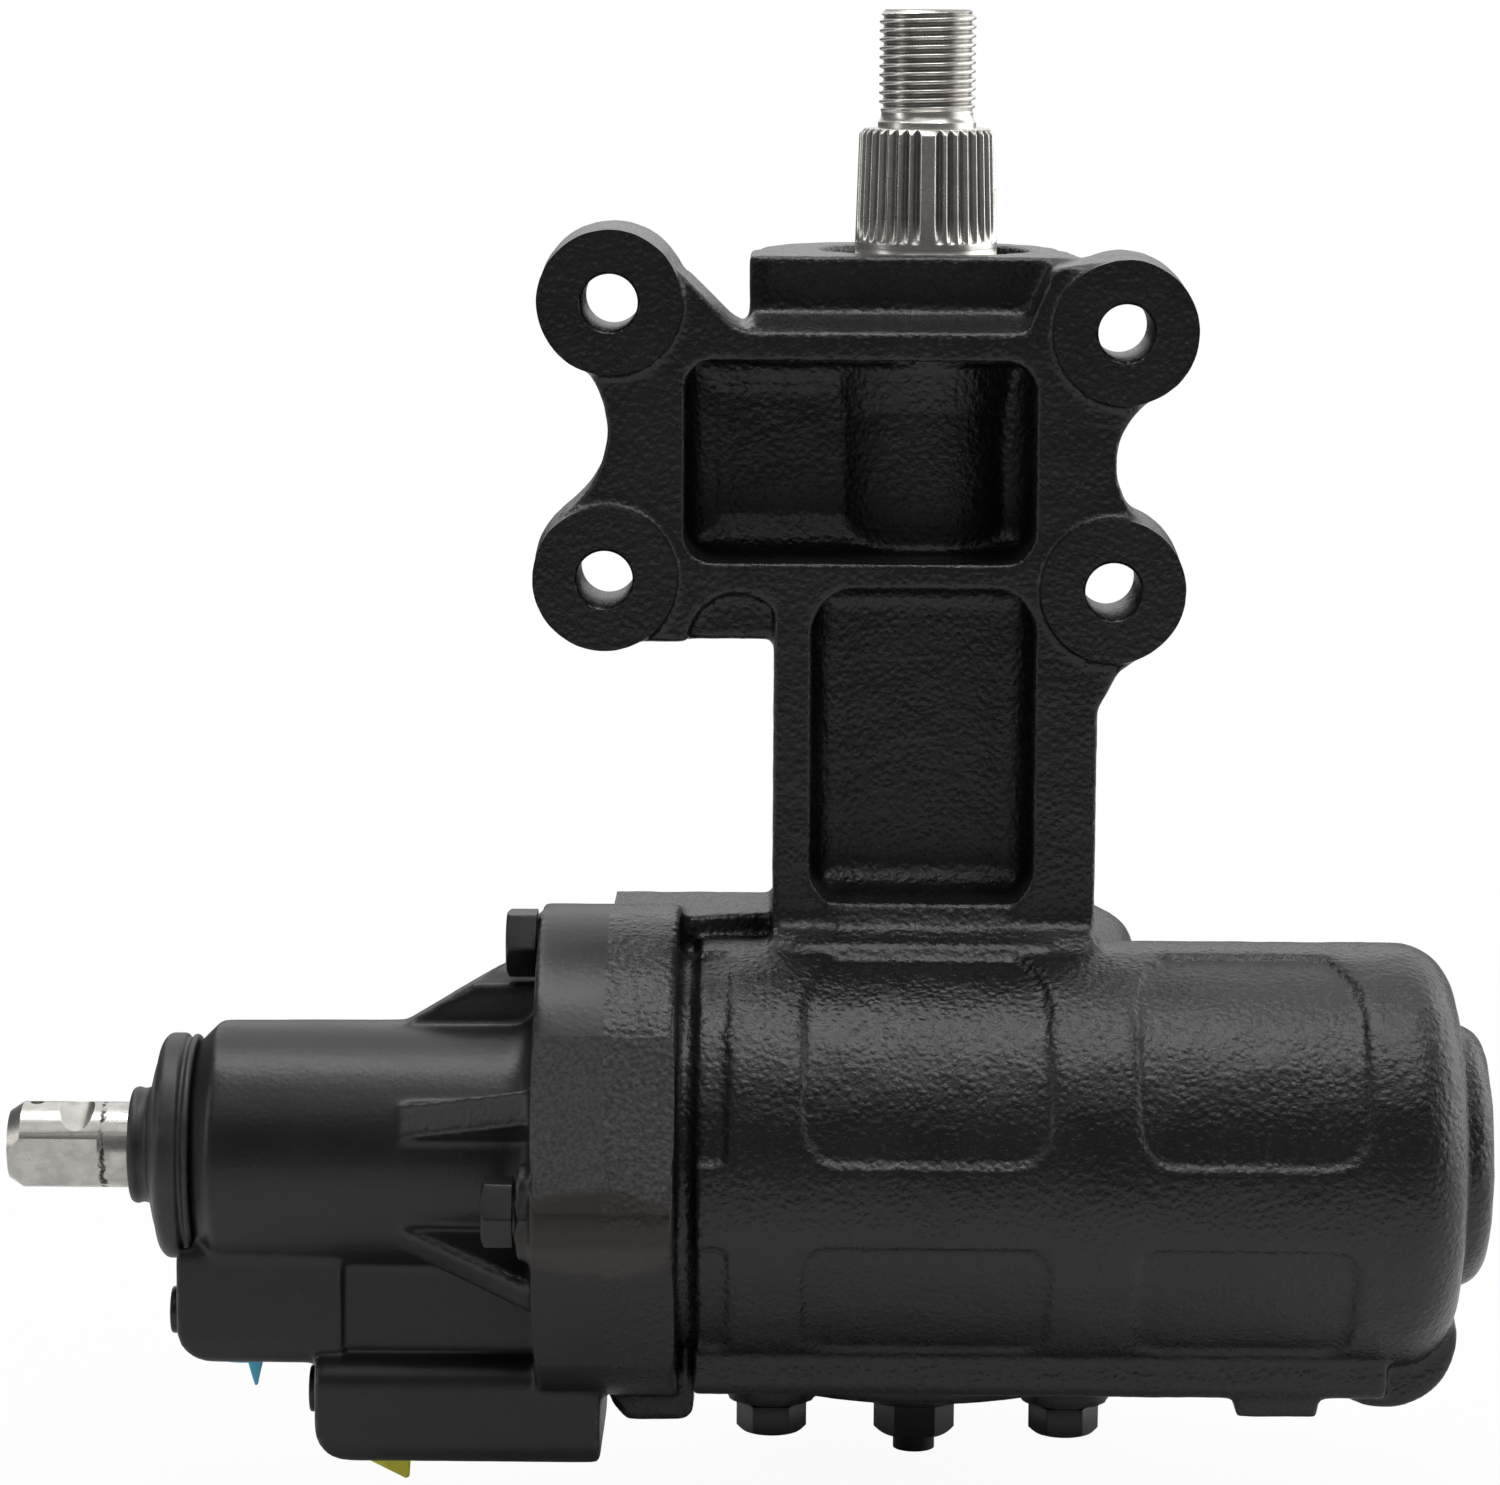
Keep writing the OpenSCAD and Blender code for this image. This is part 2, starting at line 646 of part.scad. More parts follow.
module plate_outline() difference() {
    union() {
        polygon([lug_upper_left, lug_lower_left, lug_lower_right, lug_upper_right,
                 [neck_right_x - 3, plate_top_z], [neck_left_x - 3, plate_top_z]]);
        polygon([lug_upper_left, lug_lower_left, left_waist]);
        polygon([lug_upper_right, lug_lower_right, right_waist]);
        polygon([lug_upper_left, lug_upper_left + lug_r * [cos(32), sin(32)],
                 [neck_left_x - 4, plate_top_z + 2], [neck_left_x, plate_top_z], lug_lower_right]);
        polygon([lug_lower_right, lug_lower_right + lug_r * [cos(-44), sin(-44)],
                 [tower_right_x + 4.5, lug_lower_right[1] - 18.5], [tower_right_x, lug_lower_right[1] - 27],
                 [tower_right_x - right_rib_t, lug_lower_right[1]]]);
        translate([lug_lower_left[0], plate_foot_z])
            square([tower_left_x + 2 - lug_lower_left[0], lug_lower_left[1] - plate_foot_z]);
        polygon([lug_upper_right, lug_upper_right + lug_r * [cos(104), sin(104)],
                 [neck_right_x - 6, neck_top_z - 1.5], [neck_right_x - 12, plate_top_z]]);
    }
    translate(left_waist) circle(left_waist_r);
    translate(right_waist) circle(right_waist_r);
}

module mount_plate() {
    difference() {
        front_prism(plate_front_y, plate_back_y) plate_outline();
        front_prism(plate_front_y - eps, web_front_y)
            rounded_rect(pocket_left_x, pocket_right_x, pocket_bottom_z, pocket_top_z, pocket_round);
        front_prism(plate_front_y - eps, plate_front_y + scallop_depth)
            translate(scallop) circle(scallop_r);
    }
    translate([0, lug_back_y, 0]) at_lugs() cylinder(h = lug_h, r1 = lug_r + lug_draft, r2 = lug_r);
}

module tower() {
    shaft_span(chamber_top_z - 10, neck_bottom_z + 2, tower_r);
    difference() {
        box(tower_left_x, tower_right_x, plate_front_y, 0, 30, lug_lower_right[1] + 2);
        front_prism(plate_front_y - eps, -8)
            rounded_rect(tower_left_x + left_rib_t, tower_right_x - right_rib_t,
                         0, lower_pocket_z, lower_pocket_round);
    }
    front_prism(plate_front_y, -8) {
        rib_foot(tower_left_x + left_rib_t, 1);
        rib_foot(tower_right_x - right_rib_t, -1);
    }
    side_prism(tower_left_x, tower_right_x) rib_pad();
    side_prism(tower_left_x + 1, tower_right_x - 1) saddle(-tower_r, pocket_saddle_r);
}

// Foot of a tower rib, which widens into the pocket on the given side
module rib_foot(x, side)
    polygon([[x - side, rib_foot_z - 6], [x + 7 * side, rib_foot_z - 6], [x + 7 * side, rib_foot_z],
             [x, rib_foot_z + 10], [x - side, rib_foot_z + 10]]);

// Pad in front of the tower ribs, filleted to their faces and sloping down onto the cylinder's crown
module rib_pad() difference() {
    polygon([[plate_front_y + 2, barrel_r - 6], [plate_front_y + 2, rib_pad_z + rib_pad_r],
             [plate_front_y - rib_pad_r, rib_pad_z + rib_pad_r], [plate_front_y - rib_pad_r, rib_pad_z],
             [plate_front_y - rib_pad_reach, barrel_r - 1], [plate_front_y - rib_pad_reach, barrel_r - 6]]);
    translate([plate_front_y - rib_pad_r, rib_pad_z + rib_pad_r]) circle(rib_pad_r);
}

// Concave fillet from a face at y down onto the cylinder's crown
module saddle(y, r) difference() {
    translate([y - r, barrel_r - 6]) square([r + 2, r + 5]);
    translate([y - r, barrel_r - 1 + r]) circle(r);
}

module neck() {
    shelf_z = plate_top_z + 3;
    middle_x = (neck_left_x + neck_right_x) / 2;
    back_r = neck_half_depth + 1;
    translate([0, 0, neck_bottom_z]) linear_extrude(neck_h) {
        rounded_rect(neck_left_x, neck_right_x, -neck_half_depth, -2, 5);
        translate([middle_x, 1]) circle(back_r);
    }
    side_prism(neck_left_x, neck_right_x)
        polygon([[-neck_half_depth + 1, shelf_z], [-neck_half_depth, shelf_z], [plate_front_y, plate_top_z],
                 [plate_front_y, plate_top_z - 5], [-neck_half_depth + 1, plate_top_z - 5]]);
    translate([0, 0, neck_bottom_z - neck_cone_h])
        cylinder(h = neck_cone_h + eps, r1 = tower_r - 0.5, r2 = neck_half_depth - 0.5);
}

module gear_housing_cuts() {
    worm_span(parting_x - eps, bore_end_x, bore_r);
    shaft_span(cover_face_z - eps, chamber_roof_z, chamber_bore_r);
    shaft_span(0, neck_top_z + eps, shaft_bore_r);
    shaft_span(0, lower_bearing_z + lower_bearing_h, tower_bearing_r);
    shaft_span(upper_bearing_z, neck_top_z, tower_bearing_r);
    shaft_span(seal_floor_z, neck_top_z + eps, seal_bore_r);
    shaft_span(seal_ring_z, seal_ring_z + seal_ring_t + 0.2, seal_bore_r + seal_ring_groove);
    at_flange_bolts() translate([0, 0, parting_x - eps])
        cylinder(h = bolt_grip + 1 + eps, r = bolt_r + seat_gap);
    at_cover_bolts() shaft_span(cover_face_z - eps, cover_face_z + bolt_grip + 1, bolt_r + seat_gap);
    translate([0, lug_back_y, 0]) at_lugs() {
        cylinder(h = lug_h + eps, r = lug_hole_r);
        translate([0, 0, -plate_t]) cylinder(h = plate_t, r = lug_r + lug_draft + 0.4);
        translate([0, 0, lug_h - lug_chamfer]) cylinder(h = 2 * lug_chamfer,
            r1 = lug_hole_r, r2 = lug_hole_r + 2 * lug_chamfer);
    }
    barrel_panels();
}

module gear_housing() color(cast_black) placed() difference() {
    union() {
        housing_barrel();
        housing_flange();
        sector_chamber();
        gallery();
        tower();
        mount_plate();
        neck();
    }
    gear_housing_cuts();
}

// Valve housing

module port_block(x0, x1, z0, z1, half_depth) intersection() {
    side_prism(x0, x1)
        rounded_rect(-centre_distance - half_depth, -centre_distance + half_depth, z0, z1, 6);
    front_prism(-centre_distance - half_depth - eps, -centre_distance + half_depth + eps)
        rounded_rect(x0, x1 + 30, z0, z1 + 30, 9);
}

module gusset(turn) on_worm() rotate(-90 - turn) translate([0, gusset_t / 2, 0]) rotate([90, 0, 0])
    linear_extrude(gusset_t)
        polygon([[valve_barrel_r - 6, valve_flange_x - gusset_len],
                 [valve_barrel_r - 0.5, valve_flange_x - gusset_len],
                 [gusset_r, valve_flange_x], [gusset_r, valve_flange_x + 2],
                 [valve_barrel_r - 6, valve_flange_x + 2]]);

module valve_barrel() on_worm() rotate_extrude()
    polygon([[0, valve_left_x], [valve_barrel_r - valve_chamfer, valve_left_x],
             [valve_barrel_r, valve_left_x + valve_chamfer],
             [valve_barrel_r + 0.6, valve_flange_x - flange_fillet],
             [valve_barrel_r + 0.25 * flange_fillet, valve_flange_x - 0.5 * flange_fillet],
             [valve_barrel_r + 0.5 * flange_fillet, valve_flange_x - 0.25 * flange_fillet],
             [valve_barrel_r + flange_fillet, valve_flange_x + eps], [0, valve_flange_x + eps]]);

module valve_housing_cuts() {
    worm_span(valve_left_x - eps, input_bearing_x, nose_bore_r);
    worm_span(input_ring_x - 0.1, input_ring_x + 1.7, nose_bore_r + 0.8);
    worm_span(return_block_left_x - eps, valve_left_x, dust_rim_r + 1);
    worm_span(input_bearing_x - eps, valve_bore_left_x + eps, input_bearing_r);
    worm_span(valve_bore_left_x, parting_x, valve_bore_r);
    worm_span(bearing_x, parting_x + spigot_h + eps, worm_bearing_r);
    worm_ring(parting_x + spigot_h / 2 - o_ring_r - 0.1, parting_x + spigot_h / 2 + o_ring_r + 0.1,
              bore_r + eps, bore_r - 2 * o_ring_r - 0.1);
    at_flange_bolts() {
        translate([0, 0, valve_flange_x - $spot_h - eps])
            cylinder(h = valve_flange_t + $spot_h + 2 * eps, r = bolt_r + bolt_gap);
        translate([0, 0, valve_flange_x - $spot_h - bolt_head_h - 8])
            cylinder(h = bolt_head_h + 8, r = bolt_af / 2 + 2.4);
    }
    for (port = [[return_port_x, return_block_z], [pressure_port_x, pressure_block_z]])
        translate([port[0], -centre_distance, port[1] - eps]) {
            cylinder(h = port_h + eps, r = port_r);
            cylinder(h = port_h + 10, r = 3);
        }
    for (plug = passage_plug_places())
        translate([plug[0] - eps, plug[1], plug[2]]) rotate([0, 90, 0])
            cylinder(h = passage_plug_h + eps, r = passage_plug_r);
}

function passage_plug_places() = [
    [return_block_left_x, -centre_distance - 6, return_block_z + 10],
    [pressure_block_left_x, -centre_distance - 6, pressure_block_z + 13]];

module valve_housing() color(cast_black) placed() difference() {
    union() {
        valve_barrel();
        flange_span(valve_flange_x, parting_x);
        worm_span(parting_x - 1, parting_x + spigot_h, bore_r - spigot_gap);
        for (turn = gusset_turns) gusset(turn);
        intersection() {
            at_flange_bolts() translate([0, 0, valve_flange_x - $spot_h])
                cylinder(h = $spot_h + 1, r = bolt_spot_r);
            worm_span(valve_flange_x - max(flange_spots), parting_x, flange_r - 0.5);
        }
        port_block(return_block_left_x, pressure_block_left_x + 6, return_block_z, -16, block_half_depth);
        box(pressure_block_left_x + 3, valve_flange_x + 1, -centre_distance - block_half_depth + 2,
            -centre_distance + block_half_depth - 2, pressure_ledge_z - 2, 0);
        port_block(pressure_block_left_x, pressure_block_right_x, pressure_block_z, pressure_ledge_z,
                   block_half_depth + 5);
    }
    valve_housing_cuts();
}

module valve_housing_o_ring() color(rubber_black) placed() on_worm()
    translate([0, 0, parting_x + spigot_h / 2]) rotate_extrude()
        translate([bore_r - o_ring_r - 0.05, 0]) circle(o_ring_r);

module hex_bolt(length) {
    translate([0, 0, -bolt_head_h]) rotate(30) hex_prism(bolt_af, bolt_head_h);
    cylinder(h = length, r = bolt_r);
}

module valve_housing_bolts() color(dark_steel) placed() at_flange_bolts()
    translate([0, 0, valve_flange_x - $spot_h]) hex_bolt(flange_bolt_len + $spot_h);

// Side cover

module side_cover() color(cover_black) placed() difference() {
    union() {
        shaft_span(cover_bottom_z, cover_face_z, cover_r);
        at_cover_bolts() shaft_span(cover_bottom_z - cover_boss_h, cover_face_z, cover_boss_r);
        translate([0, 0, boss_bottom_z])
            cylinder(h = adjuster_boss_h + 1, r1 = adjuster_boss_r, r2 = adjuster_boss_r + 14);
        shaft_span(cover_face_z - 1, bushing_top_z, stub_r + bushing_t + bushing_wall);
        shaft_span(cover_face_z - 1, cover_face_z + 5, chamber_bore_r - spigot_gap);
    }
    shaft_span(stub_end_z - 4, bushing_top_z + eps, stub_r + bushing_t);
    shaft_span(boss_bottom_z - eps, 0, adjuster_r + seat_gap);
    shaft_ring(cover_face_z - 2 * o_ring_r, cover_face_z + eps,
               chamber_bore_r + 5, chamber_bore_r + 5 - 2 * o_ring_r - 0.2);
    at_cover_bolts() shaft_span(cover_bottom_z - cover_boss_h - eps, cover_face_z + eps, bolt_r + bolt_gap);
}

module side_cover_o_ring() color(rubber_black) placed()
    translate([0, 0, cover_face_z - o_ring_r]) rotate_extrude()
        translate([chamber_bore_r + 5 - o_ring_r - 0.1, 0]) circle(o_ring_r - 0.02);

module side_cover_bolts() color(dark_steel) placed() at_cover_bolts()
    translate([0, 0, cover_bottom_z - cover_boss_h]) hex_bolt(cover_t + cover_boss_h + bolt_grip);

module side_cover_bushing() color(bronze) placed()
    shaft_ring(stub_end_z + 2, bushing_top_z - 0.5, stub_r + bushing_t - seat_gap, stub_r + running_gap);

module adjuster_screw() color(dark_steel) placed() difference() {
    union() {
        shaft_span(adjuster_tip_z, adjuster_head_z + 1, adjuster_r);
        shaft_span(adjuster_head_z, adjuster_head_z + adjuster_head_h, adjuster_head_r);
    }
    translate([0, 0, adjuster_tip_z - eps]) hex_prism(5, 5);
}

module adjuster_lock_nut() color(dark_steel) placed() difference() {
    translate([0, 0, boss_bottom_z - lock_nut_h]) hex_prism(lock_nut_af, lock_nut_h);
    shaft_span(boss_bottom_z - lock_nut_h - eps, boss_bottom_z + eps, adjuster_r + seat_gap);
}

// Bearings and seals of the sector shaft

module sector_upper_bearing() color(bare_steel) placed()
    shaft_ring(upper_bearing_z, upper_bearing_z + upper_bearing_h,
               tower_bearing_r - seat_gap, journal_r + running_gap);

module sector_lower_bearing() color(bare_steel) placed()
    shaft_ring(lower_bearing_z, lower_bearing_z + lower_bearing_h,
               tower_bearing_r - seat_gap, journal_r + running_gap);

module sector_oil_seal() color(rubber_black) placed()
    shaft_ring(seal_floor_z, seal_floor_z + oil_seal_h, seal_bore_r - seat_gap, journal_r + running_gap);

module seal_retaining_ring() color(dark_steel) placed()
    shaft_ring(seal_ring_z + 0.1, seal_ring_z + 0.1 + seal_ring_t,
               seal_bore_r + seal_ring_groove - 0.1, seal_bore_r - 3);

module sector_dust_seal() color(rubber_black) placed() difference() {
    shaft_ring(dust_seal_z - 1, dust_seal_z + dust_seal_h - 2,
               seal_bore_r - seat_gap, journal_r + running_gap);
    translate([0, 0, dust_seal_z + dust_seal_h - 4])
        cylinder(h = 3, r1 = journal_r + 1, r2 = seal_bore_r - 1.5);
}

// Input end

module input_dust_cover() color(rubber_black) placed() on_worm() rotate_extrude()
    polygon([[input_r + running_gap, dust_tip_x], [dust_neck_r - 0.8, dust_tip_x],
             [dust_neck_r, dust_tip_x + 0.8],
             [dust_neck_r, dust_tip_x + 4], [dust_rim_r - 5, valve_left_x - 8.5],
             [dust_rim_r - 1.5, valve_left_x - 7.8], [dust_rim_r, valve_left_x - 6.3],
             [dust_rim_r, valve_left_x - 1],
             [dust_rim_r - 1, valve_left_x], [nose_bore_r + 1, valve_left_x],
             [nose_bore_r + 1, valve_left_x - 4], [dust_neck_r + 1, valve_left_x - 6],
             [dust_neck_r - 1, dust_tip_x + 5], [input_r + running_gap, dust_tip_x + 5]]);

module input_retaining_ring() color(dark_steel) placed()
    worm_ring(input_ring_x, input_ring_x + 1.6, nose_bore_r + 0.7, nose_bore_r - 3.5);

module input_oil_seal() color(rubber_black) placed()
    worm_ring(input_seal_x, input_bearing_x - seat_gap, nose_bore_r - seat_gap, input_r + running_gap);

module input_bearing() color(bare_steel) placed()
    worm_ring(input_bearing_x, valve_bore_left_x, input_bearing_r - seat_gap, input_r + running_gap);

module bearing_groove() on_worm() translate([0, 0, bearing_x + worm_bearing_w / 2]) rotate_extrude()
    translate([bearing_ball_circle_r, 0]) circle(bearing_ball_r + 0.05);

module worm_bearing_outer_ring() color(bare_steel) placed() difference() {
    worm_ring(bearing_x + seat_gap, parting_x - seat_gap, worm_bearing_r - seat_gap,
              worm_bearing_r - bearing_ring_t);
    bearing_groove();
}

module worm_bearing_inner_ring() color(bare_steel) placed() difference() {
    worm_ring(bearing_x + 0.3, parting_x - 0.3, bearing_ball_circle_r - bearing_ball_r + 1.2,
              worm_shank_r + seat_gap);
    bearing_groove();
}

module worm_bearing_balls() color(bare_steel) placed() on_worm()
    for (i = [0:bearing_ball_count - 1])
        rotate(i * 360 / bearing_ball_count)
            translate([bearing_ball_circle_r, 0, bearing_x + worm_bearing_w / 2]) sphere(bearing_ball_r);

// Ports

module port_plug(x, z, tab) translate([x, -centre_distance, z]) {
    cap_t = 1.6;
    translate([0, 0, -cap_t]) cylinder(h = cap_t, r = port_r + 1.2);
    difference() {
        translate([0, 0, -0.2]) cylinder(h = port_h - 3, r1 = port_r - 0.1, r2 = port_r - 0.8);
        translate([0, 0, 1.2]) cylinder(h = port_h, r = port_r - 2.2);
    }
    translate([tab[0], -port_r, -cap_t - tab[2]]) cube([tab[1], 1.4, tab[2] + 0.5]);
}

module return_port_plug() color(cap_blue) placed()
    port_plug(return_port_x, return_block_z, return_tab);

module pressure_port_plug() color(cap_yellow) placed()
    port_plug(pressure_port_x, pressure_block_z, pressure_tab);

module port_seats() color(bronze) placed()
    for (port = [[return_port_x, return_block_z], [pressure_port_x, pressure_block_z]])
        translate([port[0], -centre_distance, port[1] + port_h]) difference() {
            union() {
                translate([0, 0, -2]) cylinder(h = 2, r1 = 4.2, r2 = 6);
                translate([0, 0, -0.5]) cylinder(h = 5, r = 3 - seat_gap);
            }
            translate([0, 0, -3]) cylinder(h = 9, r = 1.8);
        }

module passage_plugs() color(dark_steel) placed()
    for (plug = passage_plug_places())
        translate([plug[0] - 1.3, plug[1], plug[2]]) rotate([0, 90, 0])
            cylinder(h = passage_plug_h, r = passage_plug_r - seat_gap);

// Worm body

function groove_depth_at(turn) =
    ball_circle_r - sqrt(groove_r * groove_r - pow(worm_lead * turn / 360, 2));

function worm_section() = concat(
    [for (i = [0:groove_points])
        let (turn = groove_half_turn * (2 * i / groove_points - 1), r = groove_depth_at(turn))
        [r * cos(turn), r * sin(turn)]],
    [for (i = [1:land_points - 1])
        let (turn = groove_half_turn + (360 - 2 * groove_half_turn) * i / land_points)
        [worm_r * cos(turn), worm_r * sin(turn)]]);

module worm_thread() on_worm() translate([0, 0, groove_x0]) rotate(360 * groove_x0 / worm_lead)
    linear_extrude(groove_x1 - groove_x0, twist = -360 * (groove_x1 - groove_x0) / worm_lead,
                   slices = ceil(slices_per_turn * (groove_x1 - groove_x0) / worm_lead),
                   segments = 1)
        polygon(worm_section());

module worm_shaft() color(bare_steel) placed() difference() {
    union() {
        worm_span(sleeve_right_x, bearing_x - 0.5, worm_head_r);
        worm_span(sleeve_right_x, parting_x + 1.5, worm_shank_r);
        worm_span(parting_x, worm_tip_x, worm_core_r);
        worm_thread();
    }
    worm_span(sleeve_right_x - eps, cup_end_x, spigot_r + 0.1);
    worm_span(sleeve_right_x - eps, torsion_worm_x, torsion_end_r + running_gap);
    sleeve_pin_place() cylinder(h = 6, r = pin_r + seat_gap);
}

module sleeve_pin_place() on_worm()
    translate([(rotor_r + sleeve_r) / 2, 0, sleeve_right_x - 3]) children();

module sleeve_pin() color(dark_steel) placed() sleeve_pin_place() cylinder(h = 5.5, r = pin_r);

module valve_sleeve() color(bare_steel) placed() difference() {
    worm_ring(sleeve_left_x, sleeve_right_x - seat_gap, sleeve_r, rotor_r + running_gap);
    for (x = sleeve_ring_x)
        worm_ring(x, x + sleeve_ring_w, sleeve_r + eps, sleeve_r - sleeve_ring_depth);
    for (i = [0:2])
        let (x = (sleeve_ring_x[i] + sleeve_ring_w + sleeve_ring_x[i + 1]) / 2) {
            worm_ring(x - 2.5, x + 2.5, sleeve_r + eps, sleeve_r - 1.6);
            on_worm() for (j = [0:2])
                translate([0, 0, x]) rotate([90, 0, 120 * j + 40 * i])
                    cylinder(h = sleeve_r + eps, r = 1.8);
        }
    sleeve_pin_place() translate([0, 0, -1]) cylinder(h = 6, r = pin_r + seat_gap);
}

module sleeve_rings() color(rubber_black) placed()
    for (x = sleeve_ring_x)
        worm_ring(x + 0.05, x + sleeve_ring_w - 0.05,
                  valve_bore_r - running_gap, sleeve_r - sleeve_ring_depth + 0.05);

// Input body

module flat_cut(side) on_worm() rotate(side == 0 ? -90 + input_flat_turn : 90 + input_flat_turn)
    translate([input_flat, -input_r - eps, input_tip_x - eps])
        cube([input_r, 2 * input_r + 2 * eps, input_flat_len + eps]);

module input_shaft() color(bare_steel) placed() difference() {
    union() {
        on_worm() translate([0, 0, input_tip_x]) cylinder(h = 3, r1 = input_r - 2, r2 = input_r);
        worm_span(input_tip_x + 3, rotor_left_x + 1, input_r);
        worm_span(rotor_left_x, rotor_right_x - 1, rotor_r);
        worm_span(rotor_left_x, cup_end_x - 1, spigot_r);
    }
    for (side = [0, 1]) flat_cut(side);
    on_worm() rotate(180 + input_flat_turn) translate([input_r + 2.2, 0, input_tip_x + 15.5])
        rotate([90, 0, 0]) cylinder(h = 4 * input_r, r = 4.4, center = true);
    worm_span(input_tip_x - eps, cup_end_x, torsion_bore_r);
    on_worm() rotate(180) translate([0, 0, input_tip_x + 6]) rotate([0, 90, 0])
        cylinder(h = 3 * input_r, r = pin_r + seat_gap, center = true);
    on_worm() for (i = [0:rotor_slots - 1])
        rotate(i * 360 / rotor_slots)
            translate([rotor_r - 1.8, -2.2, rotor_left_x + 8])
                cube([4, 4.4, rotor_right_x - rotor_left_x - 18]);
}

module torsion_bar() color(dark_steel) placed() difference() {
    union() {
        worm_span(input_tip_x + 1.5, input_tip_x + 24, torsion_bore_r - seat_gap);
        worm_span(input_tip_x + 20, torsion_worm_x - 10, torsion_r);
        worm_span(torsion_worm_x - 18, torsion_worm_x - 1, torsion_end_r);
    }
    on_worm() translate([0, 0, input_tip_x + 6]) rotate([0, 90, 0])
        cylinder(h = 3 * input_r, r = pin_r + seat_gap, center = true);
}

module torsion_bar_pin() color(dark_steel) placed() on_worm() translate([0, 0, input_tip_x + 6])
    rotate([0, 90, 0]) cylinder(h = 2 * input_r - 1.6, r = pin_r, center = true);

// Rack body

module rack_space(i) {
    low = rack_root_u - rack_pitch_u;
    high = rack_addendum + 2;
    slope = tan(pressure_angle);
    mid = i * rack_pitch;
    polygon([[mid - rack_pitch / 4 - low * slope, rack_root_u],
             [mid + rack_pitch / 4 + low * slope, rack_root_u],
             [mid + rack_pitch / 4 + high * slope, rack_pitch_u + high],
             [mid - rack_pitch / 4 - high * slope, rack_pitch_u + high]]);
}

module at_track_balls() on_worm()
    for (i = [0:ball_count - 1])
        let (turn = 360 / balls_per_turn * (i - (ball_count - 1) / 2))
        rotate(turn) translate([ball_circle_r, 0, worm_lead * turn / 360]) children();

module guide_legs(r) for (end = [-1, 1])
    translate([end * guide_run[0] / 2, -centre_distance + end * guide_run[1] / 2, -guide_depth])
        cylinder(h = guide_depth - ball_circle_r * cos(track_end_turn), r = r);

module guide_crossing(r) translate([0, -centre_distance, -guide_depth])
    rotate([0, 0, atan2(guide_run[1], guide_run[0])]) rotate([0, 90, 0])
        cylinder(h = norm(guide_run), r = r, center = true);

module rack_piston() color(dark_steel) placed() difference() {
    union() {
        worm_span(rack_left_x, head_left_x + 1, nut_r);
        worm_span(head_left_x, head_right_x, piston_r);
    }
    box(rack_left_x - eps, head_left_x, rack_tip_u - centre_distance, nut_r, -bore_r, bore_r);
    translate([0, -centre_distance, -bore_r]) linear_extrude(2 * bore_r)
        for (i = [-side_teeth:side_teeth]) rack_space(i);
    worm_span(rack_left_x - eps, head_right_x - end_plug_h, nut_bore_r);
    worm_span(head_right_x - end_plug_h, head_right_x + eps, end_plug_r);
    at_track_balls() sphere(ball_r + ball_gap);
    guide_legs(guide_r + 0.1);
    box(-guide_half_len, guide_half_len, -centre_distance - nut_r - 1, -centre_distance + nut_r + 1,
        -nut_r - 1, -guide_flat_depth);
    at_clamp_screws() translate([0, 0, -guide_flat_depth - eps])
        cylinder(h = 9, r = clamp_screw_r + seat_gap);
    worm_ring(piston_ring_x - piston_ring_w / 2, piston_ring_x + piston_ring_w / 2,
              bore_r, piston_r - piston_ring_t);
}

module piston_ring() color(rubber_black) placed()
    worm_ring(piston_ring_x - piston_ring_w / 2 + 0.05, piston_ring_x + piston_ring_w / 2 - 0.05,
              bore_r - running_gap, piston_r - piston_ring_t + 0.05);

module bearing_balls() color(bare_steel) placed() at_track_balls() sphere(ball_r);

module ball_return_guide() color(bare_steel) placed() difference() {
    union() {
        guide_legs(guide_r);
        guide_crossing(guide_r);
        for (end = [-1, 1])
            translate([end * guide_run[0] / 2, -centre_distance + end * guide_run[1] / 2, -guide_depth])
                sphere(guide_r + 0.1);
    }
    at_track_balls() sphere(ball_r + ball_gap);
    worm_span(-guide_half_len, guide_half_len, nut_bore_r + ball_r + 1);
}

module at_clamp_screws() translate([0, -centre_distance, 0])
    rotate([0, 0, atan2(guide_run[1], guide_run[0])])
        for (side = [-1, 1]) translate([0, side * clamp_screw_pitch, 0]) children();

module guide_clamp() color(dark_steel) placed() difference() {
    translate([0, -centre_distance, -clamp_face_depth]) rotate([0, 0, atan2(guide_run[1], guide_run[0])])
        translate([-clamp_w / 2, -clamp_len / 2, 0])
            cube([clamp_w, clamp_len, clamp_face_depth - guide_flat_depth]);
    guide_crossing(guide_r + 0.05);
    at_clamp_screws() translate([0, 0, -clamp_face_depth - eps])
        cylinder(h = clamp_face_depth, r = clamp_screw_r + 0.2);
}

module guide_clamp_screws() color(bare_steel) placed() at_clamp_screws()
    translate([0, 0, -clamp_face_depth]) {
        translate([0, 0, -2]) cylinder(h = 2, r = 3.6);
        cylinder(h = clamp_face_depth - guide_flat_depth + 8, r = clamp_screw_r);
    }

module piston_end_plug() color(dark_steel) placed() difference() {
    worm_span(head_right_x - end_plug_h, head_right_x, end_plug_r - seat_gap);
    on_worm() translate([0, 0, head_right_x - 6]) hex_prism(12, 7);
}

// Sector body

function roll_angle(r) = let (a = acos(sector_base_r / r)) tan(a) * 180 / PI - a;

function half_tooth(r) = 90 / full_circle_teeth - backlash / sector_pitch_r * 90 / PI
    + roll_angle(sector_pitch_r) - roll_angle(max(r, sector_base_r));

